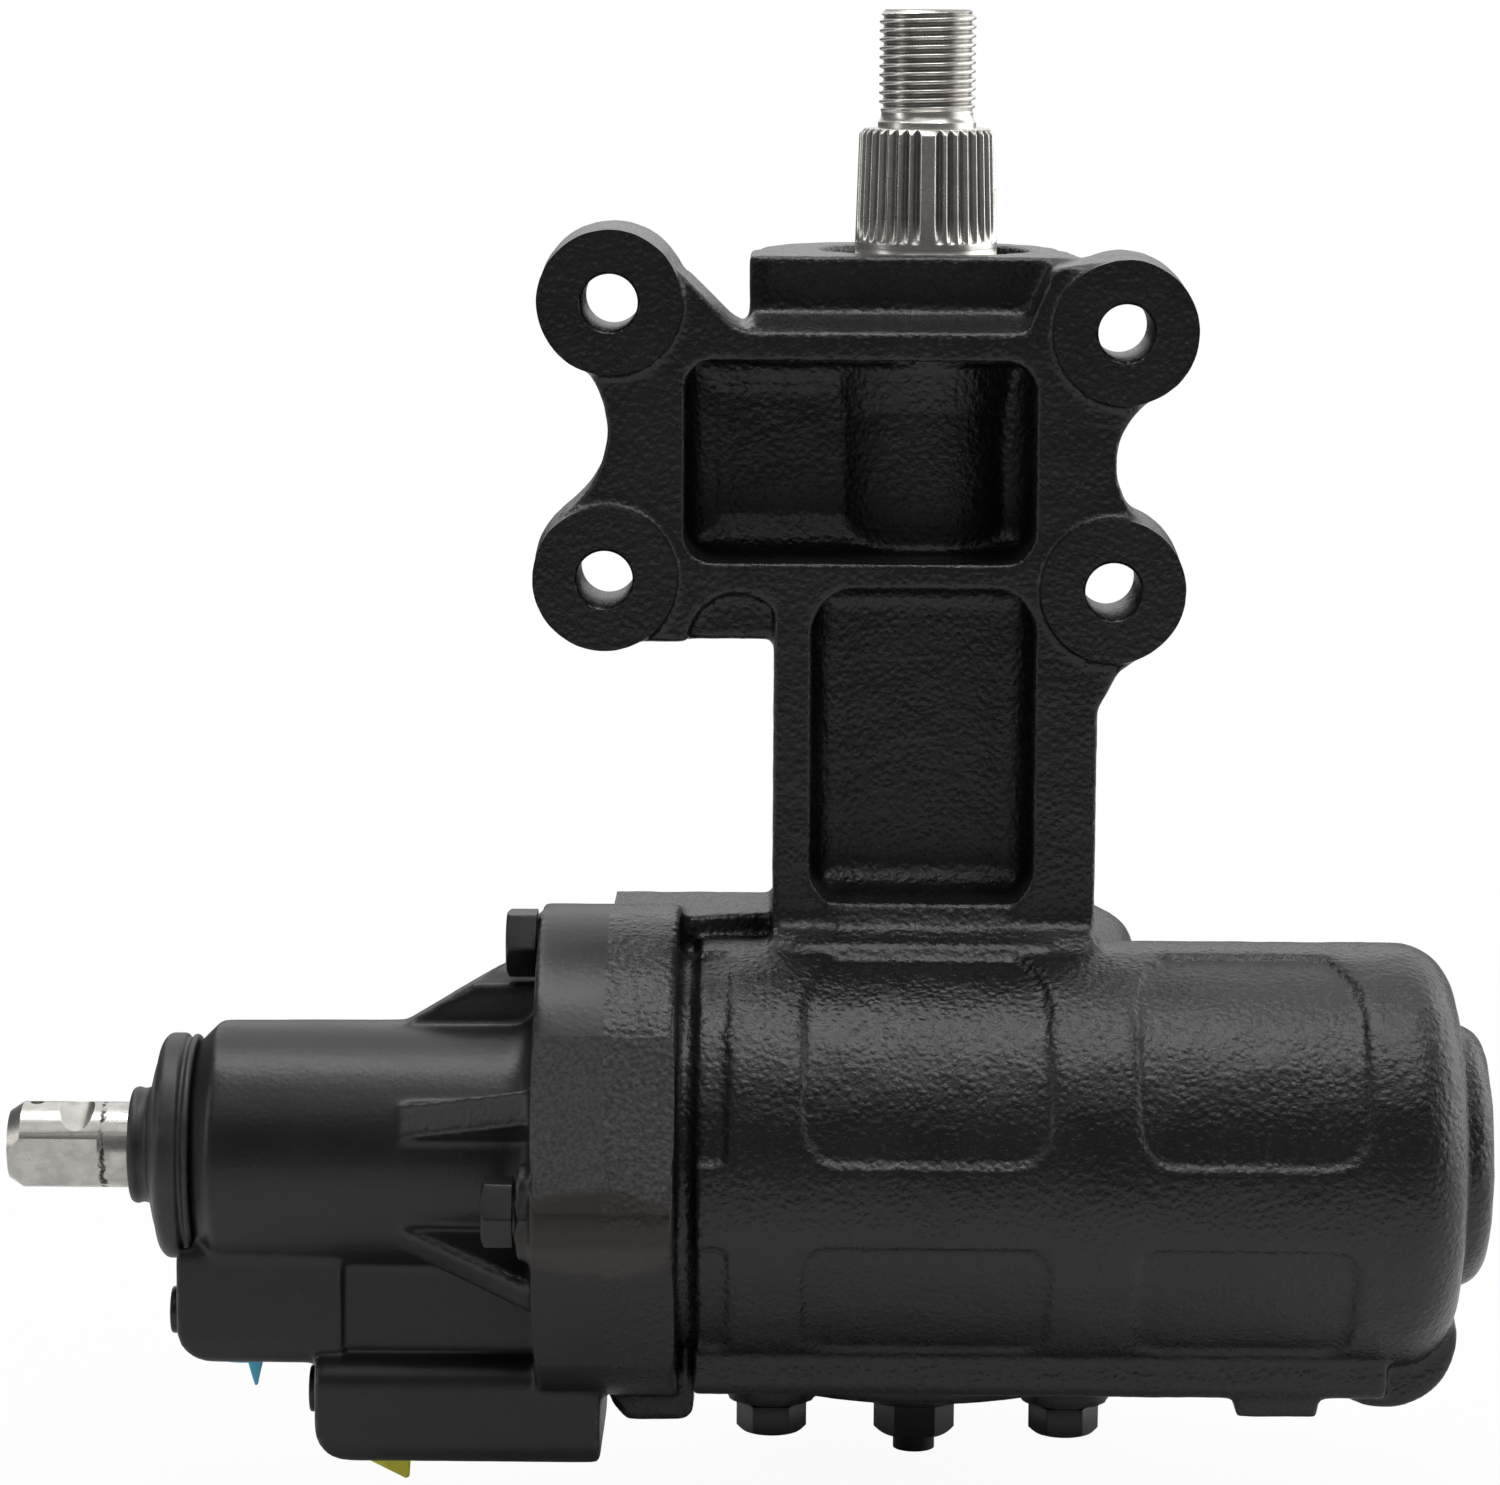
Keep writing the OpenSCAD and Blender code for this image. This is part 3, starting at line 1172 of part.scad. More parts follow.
module sector_tooth() {
    radii = concat([sector_root_r - 1],
        [for (i = [0:flank_steps]) sector_base_r + (sector_tip_r - sector_base_r) * i / flank_steps]);
    last = len(radii) - 1;
    polygon(concat(
        [for (i = [0:last]) radii[i] * [cos(half_tooth(radii[i])), -sin(half_tooth(radii[i]))]],
        [for (i = [last:-1:0]) radii[i] * [cos(half_tooth(radii[i])), sin(half_tooth(radii[i]))]]));
}

module serrations() {
    span = serration_top_z - serration_foot_z;
    lean = atan((serration_foot_r - serration_top_r) / span);
    for (i = [0:serration_count - 1])
        if (i % (serration_count / 4) != 0)
            rotate(-90 + i * 360 / serration_count)
                translate([serration_foot_r - serration_depth, 0, serration_foot_z + 1])
                    rotate([0, -lean, 0]) rotate(-45) cube([6, 6, span + 4]);
}

module sector_shaft() color(bare_steel) placed() difference() {
    union() {
        shaft_span(stub_end_z, 0, stub_r);
        translate([0, 0, -sector_width / 2]) linear_extrude(sector_width) {
            circle(sector_root_r);
            for (i = [-side_teeth:side_teeth]) rotate(-90 + i * tooth_angle) sector_tooth();
        }
        shaft_span(0, dust_seal_z + dust_seal_h - 2, journal_r);
        shaft_span(0, serration_foot_z + 0.5, serration_foot_r);
        translate([0, 0, serration_foot_z])
            cylinder(h = serration_top_z - serration_foot_z, r1 = serration_foot_r, r2 = serration_top_r);
        translate([0, 0, serration_top_z]) cylinder(h = thread_foot_z - serration_top_z,
            r1 = serration_top_r - serration_depth, r2 = thread_r - 0.9);
        shaft_span(serration_top_z, thread_top_z - 1.5, thread_r - 0.9);
        shaft_span(thread_foot_z, thread_top_z - 1.5, thread_r);
        translate([0, 0, thread_top_z - 1.5]) cylinder(h = 1.5, r1 = thread_r, r2 = thread_r - 1.3);
    }
    serrations();
    shaft_span(stub_end_z - eps, adjuster_head_z + adjuster_head_h + 0.3, adjuster_pocket_r);
}

module adjuster_retainer() color(dark_steel) placed()
    shaft_ring(stub_end_z, stub_end_z + retainer_t, adjuster_pocket_r - seat_gap, adjuster_r + 0.3);

gear_housing();
valve_housing();
side_cover();
side_cover_o_ring();
side_cover_bolts();
adjuster_screw();
adjuster_lock_nut();
valve_housing_bolts();
valve_housing_o_ring();
sector_upper_bearing();
sector_lower_bearing();
side_cover_bushing();
sector_oil_seal();
sector_dust_seal();
seal_retaining_ring();
input_dust_cover();
input_oil_seal();
input_retaining_ring();
input_bearing();
worm_bearing_outer_ring();
worm_bearing_balls();
return_port_plug();
pressure_port_plug();
port_seats();
passage_plugs();
worm_shaft();
worm_bearing_inner_ring();
valve_sleeve();
sleeve_rings();
sleeve_pin();
input_shaft();
torsion_bar();
torsion_bar_pin();
rack_piston();
piston_ring();
bearing_balls();
ball_return_guide();
guide_clamp();
guide_clamp_screws();
piston_end_plug();
sector_shaft();
adjuster_retainer();
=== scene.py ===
import json
import math

import bmesh
import bpy
import numpy as np
from bpy.props import FloatProperty, FloatVectorProperty, IntProperty, PointerProperty
from bpy.types import Operator, Panel, PropertyGroup
from mathutils import Euler, Matrix, Vector, noise


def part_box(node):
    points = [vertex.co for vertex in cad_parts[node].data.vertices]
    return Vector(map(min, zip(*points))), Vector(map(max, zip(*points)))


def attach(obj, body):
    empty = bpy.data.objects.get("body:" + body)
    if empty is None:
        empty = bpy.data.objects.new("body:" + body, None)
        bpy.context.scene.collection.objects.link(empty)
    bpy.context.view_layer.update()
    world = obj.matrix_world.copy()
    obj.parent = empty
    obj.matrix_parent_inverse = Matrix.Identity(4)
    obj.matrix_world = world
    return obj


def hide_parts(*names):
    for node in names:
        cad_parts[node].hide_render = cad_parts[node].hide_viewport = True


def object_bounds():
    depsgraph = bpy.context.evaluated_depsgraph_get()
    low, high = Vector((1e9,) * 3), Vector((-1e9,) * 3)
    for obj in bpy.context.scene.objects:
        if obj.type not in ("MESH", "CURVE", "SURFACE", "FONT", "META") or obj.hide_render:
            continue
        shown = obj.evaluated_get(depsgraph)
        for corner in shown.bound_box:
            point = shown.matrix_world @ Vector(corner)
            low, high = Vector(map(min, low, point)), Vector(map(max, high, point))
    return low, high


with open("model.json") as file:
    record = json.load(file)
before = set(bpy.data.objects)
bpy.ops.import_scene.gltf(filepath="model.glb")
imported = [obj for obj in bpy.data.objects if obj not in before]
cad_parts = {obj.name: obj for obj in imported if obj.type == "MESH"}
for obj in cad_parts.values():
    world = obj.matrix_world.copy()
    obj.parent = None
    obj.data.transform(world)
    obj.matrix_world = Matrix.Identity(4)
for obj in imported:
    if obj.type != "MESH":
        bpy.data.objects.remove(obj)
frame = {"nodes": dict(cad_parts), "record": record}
CAD_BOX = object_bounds()

bl_info = {
    "name": "Steering Gearbox Dressing",
    "version": (1, 0, 0),
    "blender": (4, 5, 0),
    "location": "3D View > Sidebar > Gearbox",
    "description": "Cast skins, threads, fasteners, finishes and a studio for a steering gearbox",
    "category": "Object",
}

MM = 0.001
NODES = frame["nodes"]
MOUNTS = {mount["name"]: mount for mount in frame["record"]["mounts"]}
OPENINGS = {entry["name"]: entry["box_m"] for entry in frame["record"]["physics"]["openings"]}


def mount_at(name):
    """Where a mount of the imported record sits, in metres."""
    return Vector(MOUNTS[name]["pos_m"])


LUGS = [mount_at(name) for name in sorted(MOUNTS) if name.startswith("lug_bore")]
SHAFT_AXIS = mount_at("pitman_thread")
WORM_AXIS = mount_at("column_coupling")


# Settings


def length_mm(name, description, value):
    """A length, its default given in millimetres."""
    return FloatProperty(name=name, description=description, default=value * MM, unit="LENGTH")


def angle_deg(name, description, value):
    """An angle, its default given in degrees."""
    return FloatProperty(
        name=name, description=description, default=math.radians(value), subtype="ANGLE")


def colour_rgb(name, description, value):
    """A colour, its default given as red, green and blue."""
    return FloatVectorProperty(name=name, description=description, default=value, subtype="COLOR")


class CastingSettings(PropertyGroup):
    gear_voxel: length_mm("Gear housing grid", "Grid of the gear housing's cast skin", 0.9)
    valve_voxel: length_mm("Valve housing grid", "Grid of the valve housing's cast skin", 0.8)
    gear_passes: IntProperty(
        name="Gear housing fillets", description="Smoothing passes that fillet the gear housing",
        default=8)
    valve_passes: IntProperty(
        name="Valve housing fillets", description="Smoothing passes that fillet the valve housing",
        default=12)
    swell: length_mm("Sand swell", "Height of the slow waves that the sand mould leaves", 0.15)
    grain: length_mm("Sand grain", "Height of the fine grain that the sand mould leaves", 0.06)
    lug_radius: length_mm("Lug radius", "Radius of a lug at its machined face", 16)
    lug_hole: length_mm("Lug hole radius", "Radius of a lug's bolt hole", 6.25)
    lug_chamfer: length_mm("Lug hole chamfer", "Chamfer of a lug's bolt hole", 0.6)
    lug_length: length_mm("Lug length", "Length of a lug along its hole", 30)
    plate_face: length_mm(
        "Plate face", "How far the mounting plate's face lies behind the lugs' faces", 2.5)
    pocket_round: length_mm("Pocket corners", "Radius of the corners round the pockets' floors", 7)
    pocket_lip: length_mm(
        "Lower pocket's lip", "How far the lip lies below the lower pocket's opening", 4.5)
    flange_depth: length_mm("Flange thickness", "Thickness of each of the two flanges", 15.5)
    upper_flat: angle_deg(
        "Upper flange flat", "How far the flat above the flanges' front lobe faces upward", 22.9)
    lower_flat: angle_deg(
        "Lower flange flat", "How far the flat below the flanges' front lobe faces upward", -30.5)
    flat_reach: length_mm(
        "Flange flat distance", "Distance of both flats from the worm's axis", 52.8)
    spigot_length: length_mm(
        "Spigot length", "How far the valve housing enters the gear housing", 5)
    spigot_radius: length_mm("Spigot radius", "Radius of the valve housing's spigot", 39.9)


class FastenerSettings(PropertyGroup):
    head_flats: length_mm("Head flats", "Width across the flats of a bolt head", 14)
    head_height: length_mm("Head height", "Height of a bolt head with its washer face", 7.5)
    shank_radius: length_mm("Shank radius", "Radius of a bolt's shank", 5)
    nut_flats: length_mm("Lock nut flats", "Width across the flats of the lock nut", 16.5)
    chamfer_angle: angle_deg("Corner chamfer", "Slope of the chamfer over a hexagon's corners", 30)


class ShaftSettings(PropertyGroup):
    thread_pitch: length_mm("Thread pitch", "Pitch of the pitman nut's thread", 2)
    thread_depth: length_mm("Thread depth", "Depth of the pitman nut's thread", 1.0)
    thread_radius: length_mm("Thread radius", "Outside radius of the pitman nut's thread", 11)
    thread_length: length_mm(
        "Thread length", "Length of the pitman nut's thread with its chamfer", 23.4)
    cone_length: length_mm(
        "Flare length", "Length of the flare between the thread and the serrations", 3.4)
    serration_length: length_mm(
        "Serration length", "Length of the serrations with their run-out", 27)
    serration_top: length_mm(
        "Serration top radius", "Radius over the serrations at their top", 15.4)
    serration_foot: length_mm(
        "Serration foot radius", "Radius over the serrations at their foot", 16.25)
    serration_depth: length_mm(
        "Serration depth", "Depth of the grooves between the serrations", 1.2)
    serration_count: IntProperty(
        name="Serrations", description="Serrations on the full circle, in fours", default=36)


class FinishSettings(PropertyGroup):
    paint: colour_rgb("Black paint", "Colour of the black paint", (0.0085, 0.0085, 0.009))
    rub: colour_rgb("Rubbed paint", "Brown of rubbed and stained paint", (0.040, 0.029, 0.024))
    steel: colour_rgb("Bare steel", "Colour of bare turned steel", (0.60, 0.58, 0.545))
    dark_steel: colour_rgb(
        "Hardened steel", "Colour of hardened and ground steel", (0.42, 0.42, 0.43))
    rubber: colour_rgb("Rubber", "Colour of the seals and the dust cover", (0.022, 0.022, 0.023))
    bronze: colour_rgb("Bronze", "Colour of the bushing and the tube seats", (0.66, 0.48, 0.26))
    blue: colour_rgb(
        "Return port plug", "Colour of the return port's shipping plug", (0.09, 0.52, 0.76))
    yellow: colour_rgb(
        "Pressure port plug", "Colour of the pressure port's shipping plug", (0.86, 0.78, 0.05))


class StudioSettings(PropertyGroup):
    camera_place: FloatVectorProperty(
        name="Camera place", description="Where the camera stands",
        default=(-0.0130028, -1.1084298, 0.1029501), subtype="XYZ", unit="LENGTH")
    camera_turn: FloatVectorProperty(
        name="Camera turn", description="How the camera is tilted, rolled and turned",
        default=(math.radians(81.4), math.radians(-0.2966), math.radians(0.6449)), subtype="EULER")
    camera_lens: FloatProperty(
        name="Lens",
        description="Focal length on a sensor 36 mm wide, in millimetres", default=121.32)
    floor_colour: colour_rgb("Floor", "Colour of the floor", (0.76, 0.76, 0.76))
    top_light: FloatProperty(
        name="Top light",
        description="Power of the long soft light overhead, in watts", default=6.8)
    front_light: FloatProperty(
        name="Front light",
        description="Power of the weak soft light in front of the top light, in watts", default=2.2)
    left_light: FloatProperty(
        name="Left light",
        description="Power of the narrow light on the left, in watts", default=1.6)
    right_light: FloatProperty(
        name="Right light",
        description="Power of the wide soft light on the right, in watts", default=15)
    back_light: FloatProperty(
        name="Back light",
        description="Power of the wide soft light behind the gearbox, in watts", default=26)
    sky: FloatProperty(
        name="Room light", description="Strength of the even light from all sides", default=0.12)


# Shader maths


class Wire:
    """A socket of a node tree that takes part in Python arithmetic."""

    def __init__(self, nodes, socket):
        self.nodes = nodes
        self.socket = socket

    def math(self, operation, *values):
        return self.nodes.add("ShaderNodeMath", {"operation": operation}, dict(enumerate(values)))

    def __add__(self, other):
        return self.math("ADD", self, other)

    __radd__ = __add__

    def __sub__(self, other):
        return self.math("SUBTRACT", self, other)

    def __rsub__(self, other):
        return self.math("SUBTRACT", other, self)

    def __mul__(self, other):
        return self.math("MULTIPLY", self, other)

    __rmul__ = __mul__

    def __abs__(self):
        return self.math("ABSOLUTE", self)

    def most(self, other):
        return self.math("MAXIMUM", self, other)

    def least(self, other):
        return self.math("MINIMUM", self, other)

    def between(self, low, high):
        """0 below low, 1 above high, with a soft step between them."""
        return self.nodes.add(
            "ShaderNodeMapRange", {"interpolation_type": "SMOOTHSTEP"},
            {"Value": self, "From Min": low, "From Max": high})

    def axis(self, name):
        """One of X, Y and Z of a vector."""
        return self.nodes.add("ShaderNodeSeparateXYZ", {}, {0: self}, name)


class Nodes:
    """A node tree. add() makes any node: its settings first, then its sockets."""

    # Share, first colour, second colour and result among the sockets of a Mix node
    MIX_INPUTS, MIX_RESULT = (0, 6, 7), 2

    def __init__(self, tree):
        self.tree = tree

    def add(self, kind, settings, sockets, output=0):
        node = self.tree.nodes.new(kind)
        for name, value in settings.items():
            setattr(node, name, value)
        self.feed(node, sockets)
        return Wire(self, node.outputs[output])

    def feed(self, node, sockets):
        for name, value in sockets.items():
            if isinstance(value, Wire):
                self.tree.links.new(value.socket, node.inputs[name])
            else:
                node.inputs[name].default_value = value

    def vector(self, operation, *values, output=0):
        """Vector maths on wires and on triples of numbers."""
        return self.add(
            "ShaderNodeVectorMath", {"operation": operation}, dict(enumerate(values)), output)

    def mix(self, share, first, second):
        """A colour between two colours."""
        values = (share, opaque(first), opaque(second))
        return self.add(
            "ShaderNodeMix", {"data_type": "RGBA"}, dict(zip(self.MIX_INPUTS, values)),
            self.MIX_RESULT)


class Finish(Nodes):
    """A procedural material."""

    def __init__(self, name):
        self.material = bpy.data.materials.new(name)
        self.material.use_nodes = True
        super().__init__(self.material.node_tree)
        self.shader = self.tree.nodes["Principled BSDF"]
        self.place = self.add("ShaderNodeTexCoord", {}, {}, "Object")

    def set(self, **sockets):
        """Feeds the shader and hands over the material."""
        self.feed(self.shader, {name.replace("_", " "): value for name, value in sockets.items()})
        return self.material

    def noise(self, size, detail=3, roughness=0.55, place=None):
        """Noise with features of about that size in metres, from 0 to 1."""
        return self.add("ShaderNodeTexNoise", {}, {
            "Vector": place or self.place, "Scale": 1 / size, "Detail": detail,
            "Roughness": roughness})

    def cells(self, size):
        """Distance to the nearest of scattered points, about that size apart."""
        return self.add("ShaderNodeTexVoronoi", {}, {"Vector": self.place, "Scale": 1 / size})

    def stretched(self, x, y, z):
        """The place with each axis multiplied, for marks that run along one direction."""
        return self.vector("MULTIPLY", self.place, (x, y, z))

    def bump(self, height, depth):
        """A normal from a height from 0 to 1 that stands for a depth in metres."""
        return self.add("ShaderNodeBump", {}, {
            "Height": height, "Distance": depth, "Strength": 1.0})

    def attribute(self, name):
        """A value that is kept on the mesh."""
        return self.add("ShaderNodeAttribute", {"attribute_name": name}, {}, "Fac")


def opaque(colour):
    """A colour as the four numbers that a socket takes; wires pass through."""
    return colour if isinstance(colour, Wire) else (*colour[:3], 1.0)


def times(colour, share):
    """A colour with its three parts multiplied."""
    return tuple(share * part for part in colour)


# Finishes

# Colours of marks that lie on a finish, among them painted shade in grooves and wear with painted
# sheen on flats
DUST = (0.09, 0.09, 0.088)
# Grey of the upward flats: wear and painted sheen
FLAT_WEAR_SHEEN_DARK, FLAT_WEAR_SHEEN_PALE = (0.032, 0.032, 0.032), (0.066, 0.066, 0.065)
UPPER_RUB = (0.019, 0.012, 0.009)
SPECK = (0.16, 0.13, 0.10)
# Painted shade in the grooves of the thread and the serrations
GROOVE_SHADE = (0.075, 0.07, 0.062)
STAIN = (0.035, 0.028, 0.02)
FLECK = (0.16, 0.16, 0.15)
SCUFF = (0.7, 0.72, 0.72)

# The rub mark across the flanges: its centre and half its size
RUB_CENTRE, RUB_REACH = (-0.056, -0.056, -0.164), (0.022, 0.030, 0.0125)

# The stain on the input shaft: its distance from the shaft's end
STAIN_PLACE = 21.5 * MM


def painted(name, paint, rub, grain_size, grain_depth, gloss, rubbed=False):
    """Black paint over cast iron: grain, patches, edges lightened by wear and painted glints, matte
    flats lightened by wear and painted sheen, and a rub mark.
    """
    made = Finish(name)
    patches = made.noise(18 * MM, 4)
    fine = made.noise(grain_size, 4, 0.6)
    pits = made.cells(grain_size * 1.7)
    wear_and_sheen = made.noise(2.2 * MM, 4, 0.7).between(0.40, 0.62)
    edge = made.attribute("edge").between(0.1, 0.5) * wear_and_sheen
    dust = made.noise(0.9 * MM, 2).between(0.70, 0.80) * patches.between(0.5, 0.7)
    # Flats facing upward: matte, and lightened grey as wear and painted sheen
    dull = made.attribute("dull") * (0.7 + fine * 0.6)
    flat = made.mix(fine.between(0.35, 0.65), FLAT_WEAR_SHEEN_DARK, FLAT_WEAR_SHEEN_PALE)
    colour = made.mix(patches.between(0.35, 0.65), times(paint, 0.72), paint)
    # Edges lightened: partly thin paint on edges, partly painted glints where light catches them
    colour = made.mix(edge * 0.95, colour, times(paint, 8))
    colour = made.mix(dust * 0.25, colour, DUST)
    colour = made.mix((dull * 2.2).least(1), colour, flat)
    rough = gloss + (patches - 0.5) * 0.14 + (fine - 0.5) * 0.10 + dust * 0.2 + dull * 0.5
    if rubbed:
        away = made.vector("SUBTRACT", made.place, RUB_CENTRE)
        away = made.vector("DIVIDE", away, RUB_REACH)
        away = made.vector("LENGTH", away, output="Value")
        streaks = made.noise(9 * MM, 5, 0.7, made.stretched(0.5, 1, 1.4))
        inside = 1 - (away + (streaks - 0.5) * 0.9).between(0.7, 1.0)
        mark = inside * streaks.between(0.15, 0.5)
        level = made.place.axis("Z") + streaks * (4 * MM)
        lower = level.between(RUB_CENTRE[2] + 1 * MM, RUB_CENTRE[2] - 2 * MM)
        colour = made.mix(mark, colour, made.mix(lower, UPPER_RUB, rub))
        rough = rough + mark * 0.12
    height = fine * 0.65 + (1 - pits.between(0.0, 0.7)) * 0.35
    return made.set(
        Base_Color=colour, Roughness=rough.most(0.12), Normal=made.bump(height, grain_depth),
        Metallic=0.0, IOR=1.5, Coat_Weight=0.0)


def turned_steel(name, colour, lines, stain_at=None):
    """Bare metal with turning lines, a grey film, specks, painted shade in grooves and a brown
    stain.
    """
    made = Finish(name)
    groove = made.noise(0.35 * MM, 2, 0.5, made.stretched(*lines))
    film = made.noise(6 * MM, 4, 0.65)
    speck = made.noise(0.8 * MM, 2).between(0.66, 0.74)
    # Painted shade: the deeper a point lies in a groove, the darker
    groove_shade = made.attribute("groove").between(0.45, 1.0)
    shade = made.mix(film.between(0.35, 0.7), colour, times(colour, 0.74))
    shade = made.mix(speck * 0.35, shade, SPECK)
    shade = made.mix(groove_shade * 0.6, shade, GROOVE_SHADE)
    rough = 0.30 + (film - 0.5) * 0.22 + speck * 0.25 + (groove - 0.5) * 0.14
    metal = 1 - speck * 0.5
    if stain_at is not None:
        wobble = made.noise(2.2 * MM, 3) * (3.4 * MM)
        away = abs(made.place.axis("X") + wobble - (stain_at + 1.7 * MM))
        band = 1 - away.between(0.25 * MM, 0.95 * MM)
        band = band * made.noise(1.6 * MM, 2).between(0.36, 0.6)
        shade = made.mix(band, shade, STAIN)
        rough = rough + band * 0.3
        metal = metal * (1 - band * 0.9)
    return made.set(
        Base_Color=shade, Metallic=metal, Roughness=rough,
        Normal=made.bump(groove * 0.7 + film * 0.3, 0.03 * MM))


def moulded_rubber(name, colour):
    """Black moulded rubber with a dusty bloom."""
    made = Finish(name)
    bloom = made.noise(4 * MM, 4, 0.65)
    fine = made.noise(0.5 * MM, 2)
    flecks = made.noise(0.7 * MM, 2).between(0.69, 0.76)
    shade = made.mix(bloom.between(0.4, 0.75), colour, times(colour, 1.9))
    shade = made.mix(flecks * 0.5, shade, FLECK)
    return made.set(
        Base_Color=shade, Roughness=0.46 + (bloom - 0.5) * 0.2 + flecks * 0.2,
        Normal=made.bump(fine * 0.6 + bloom * 0.4, 0.06 * MM), IOR=1.5)


def moulded_plastic(name, colour):
    """Bright moulded plastic with flow marks and a few scuffs."""
    made = Finish(name)
    flow = made.noise(3 * MM, 3, 0.6, made.stretched(1, 1, 0.3))
    scuff = made.noise(0.6 * MM, 3).between(0.6, 0.72)
    pale = tuple(min(1, part) for part in times(colour, 1.25))
    shade = made.mix(flow.between(0.3, 0.7), colour, pale)
    shade = made.mix(scuff * 0.3, shade, SCUFF)
    return made.set(
        Base_Color=shade, Roughness=0.34 + scuff * 0.25 + (flow - 0.5) * 0.1,
        Normal=made.bump(flow * 0.5 + scuff * 0.5, 0.05 * MM), IOR=1.46)


FINISHES = {}


def finishes(context):
    """The finishes of the gearbox by name, made once."""
    if not FINISHES:
        tone = context.scene.gearbox_finishes
        paint, rub = tuple(tone.paint), tuple(tone.rub)
        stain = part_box("input_shaft")[0].x + STAIN_PLACE
        made = (
            painted("rough_cast_paint", paint, rub, 1.0 * MM, 0.36 * MM, 0.27, True),
            painted("fine_cast_paint", paint, rub, 0.9 * MM, 0.06 * MM, 0.38, True),
            painted("cover_cast_paint", paint, rub, 0.6 * MM, 0.06 * MM, 0.42),
            painted("fastener_paint", times(paint, 1.1), rub, 0.5 * MM, 0.03 * MM, 0.36),
            turned_steel("input_steel", tuple(tone.steel), (0.02, 1, 1), stain),
            turned_steel("shaft_steel", times(tone.steel, 1.28), (0.02, 0.02, 1)),
            turned_steel("inner_steel", tuple(tone.dark_steel), (0.05, 1, 1)),
            turned_steel("turned_bronze", tuple(tone.bronze), (0.05, 0.05, 1)),
            moulded_rubber("black_rubber", tuple(tone.rubber)),
            moulded_plastic("blue_moulding", tuple(tone.blue)),
            moulded_plastic("yellow_moulding", tuple(tone.yellow)),
        )
        FINISHES.update({finish.name: finish for finish in made})
    return FINISHES


# Mesh tools

# Distances below which points are one, a CAD face lies on a plane and a cut face lies on a plane
WELD, ON_PLANE, ON_CUT = 1e-6, 1e-5, 3e-6

# Share of a side that the rounding of one corner may take
CORNER_SHARE = 0.45


def welded(mesh):
    """A mesh opened for editing, with the points that share a place made one."""
    made = bmesh.new()
    made.from_mesh(mesh)
    bmesh.ops.remove_doubles(made, verts=made.verts, dist=WELD)
    return made


def baked(made):
    """The mesh that an edited one stands for."""
    mesh = bpy.data.meshes.new("made")
    made.to_mesh(mesh)
    made.free()
    return mesh


def settled(mesh, *modifiers):
    """A mesh with modifiers applied, each given as its type and its settings."""
    holder = bpy.data.objects.new("holder", mesh)
    bpy.context.scene.collection.objects.link(holder)
    for kind, settings in modifiers:
        modifier = holder.modifiers.new(kind.lower(), kind)
        for name, value in settings.items():
            setattr(modifier, name, value)
    shaped = holder.evaluated_get(bpy.context.evaluated_depsgraph_get())
    made = bpy.data.meshes.new_from_object(shaped)
    bpy.data.objects.remove(holder)
    return made


def joined(*meshes):
    """Several meshes as one."""
    made = bmesh.new()
    for mesh in meshes:
        made.from_mesh(mesh)
    return baked(made)


def cut(mesh, *tools):
    """A mesh with the volume of other meshes taken away."""
    for tool in tools:
        holder = bpy.data.objects.new("tool", tool)
        bpy.context.scene.collection.objects.link(holder)
        taken = {"operation": "DIFFERENCE", "solver": "MANIFOLD", "object": holder}
        mesh = settled(mesh, ("BOOLEAN", taken))
        bpy.data.objects.remove(holder)
    return mesh


def from_grid(rows, closed_ends):
    """A tube from rings of points, with its ends closed or its last ring joined to its first."""
    made = bmesh.new()
    rings = [[made.verts.new(point) for point in row] for row in rows]
    pairs = list(zip(rings, rings[1:]))
    if not closed_ends:
        pairs.append((rings[-1], rings[0]))
    for low, high in pairs:
        for i in range(len(low)):
            j = (i + 1) % len(low)
            made.faces.new((low[i], low[j], high[j], high[i]))
    if closed_ends:
        made.faces.new(list(reversed(rings[0])))
        made.faces.new(rings[-1])
    bmesh.ops.recalc_face_normals(made, faces=made.faces)
    return baked(made)


def rounded(points, radius, steps=4, closed=False):
    """An outline in a plane with its corners rounded by arcs of about that radius."""
    made = []
    count = len(points)
    for i, point in enumerate(points):
        here = Vector(point)
        if not closed and i in (0, count - 1):
            made.append(here)
            continue
        before = Vector(points[i - 1]) - here
        after = Vector(points[(i + 1) % count]) - here
        reach = min(radius, before.length * CORNER_SHARE, after.length * CORNER_SHARE)
        start, end = here + before.normalized() * reach, here + after.normalized() * reach
        for k in range(steps + 1):
            t = k / steps
            made.append((1 - t) ** 2 * start + 2 * t * (1 - t) * here + t ** 2 * end)
    return made


def lathe(outline, steps=72, closed=False):
    """A solid turned about Z from points of radius and height."""
    turns = [2 * math.pi * i / steps for i in range(steps)]
    rows = [[(r * math.cos(a), r * math.sin(a), z) for a in turns] for r, z in outline]
    return from_grid(rows, not closed)


def prism(outline, axis, start, end):
    """A solid with an outline in the plane across an axis, from start to end along that axis."""
    rows = []
    for along in (start, end):
        rows.append([(*point[:axis], along, *point[axis:]) for point in map(tuple, outline)])
    return from_grid(rows, True)


def unit(axis):
    """The direction of an axis that is given by its number."""
    made = Vector((0, 0, 0))
    made[axis] = 1
    return made


def placed(mesh, centre, toward):
    """Turns a mesh's Z axis along a direction and puts its origin at a place."""
    turn = Vector((0, 0, 1)).rotation_difference(Vector(toward)).to_matrix().to_4x4()
    mesh.transform(Matrix.Translation(centre) @ turn)
    return mesh


def solid_rod(centre, toward, radius, start, end):
    """A cylinder along a direction, from start to end as distances from a centre."""
    return placed(lathe([(radius, start), (radius, end)], 64), centre, toward)


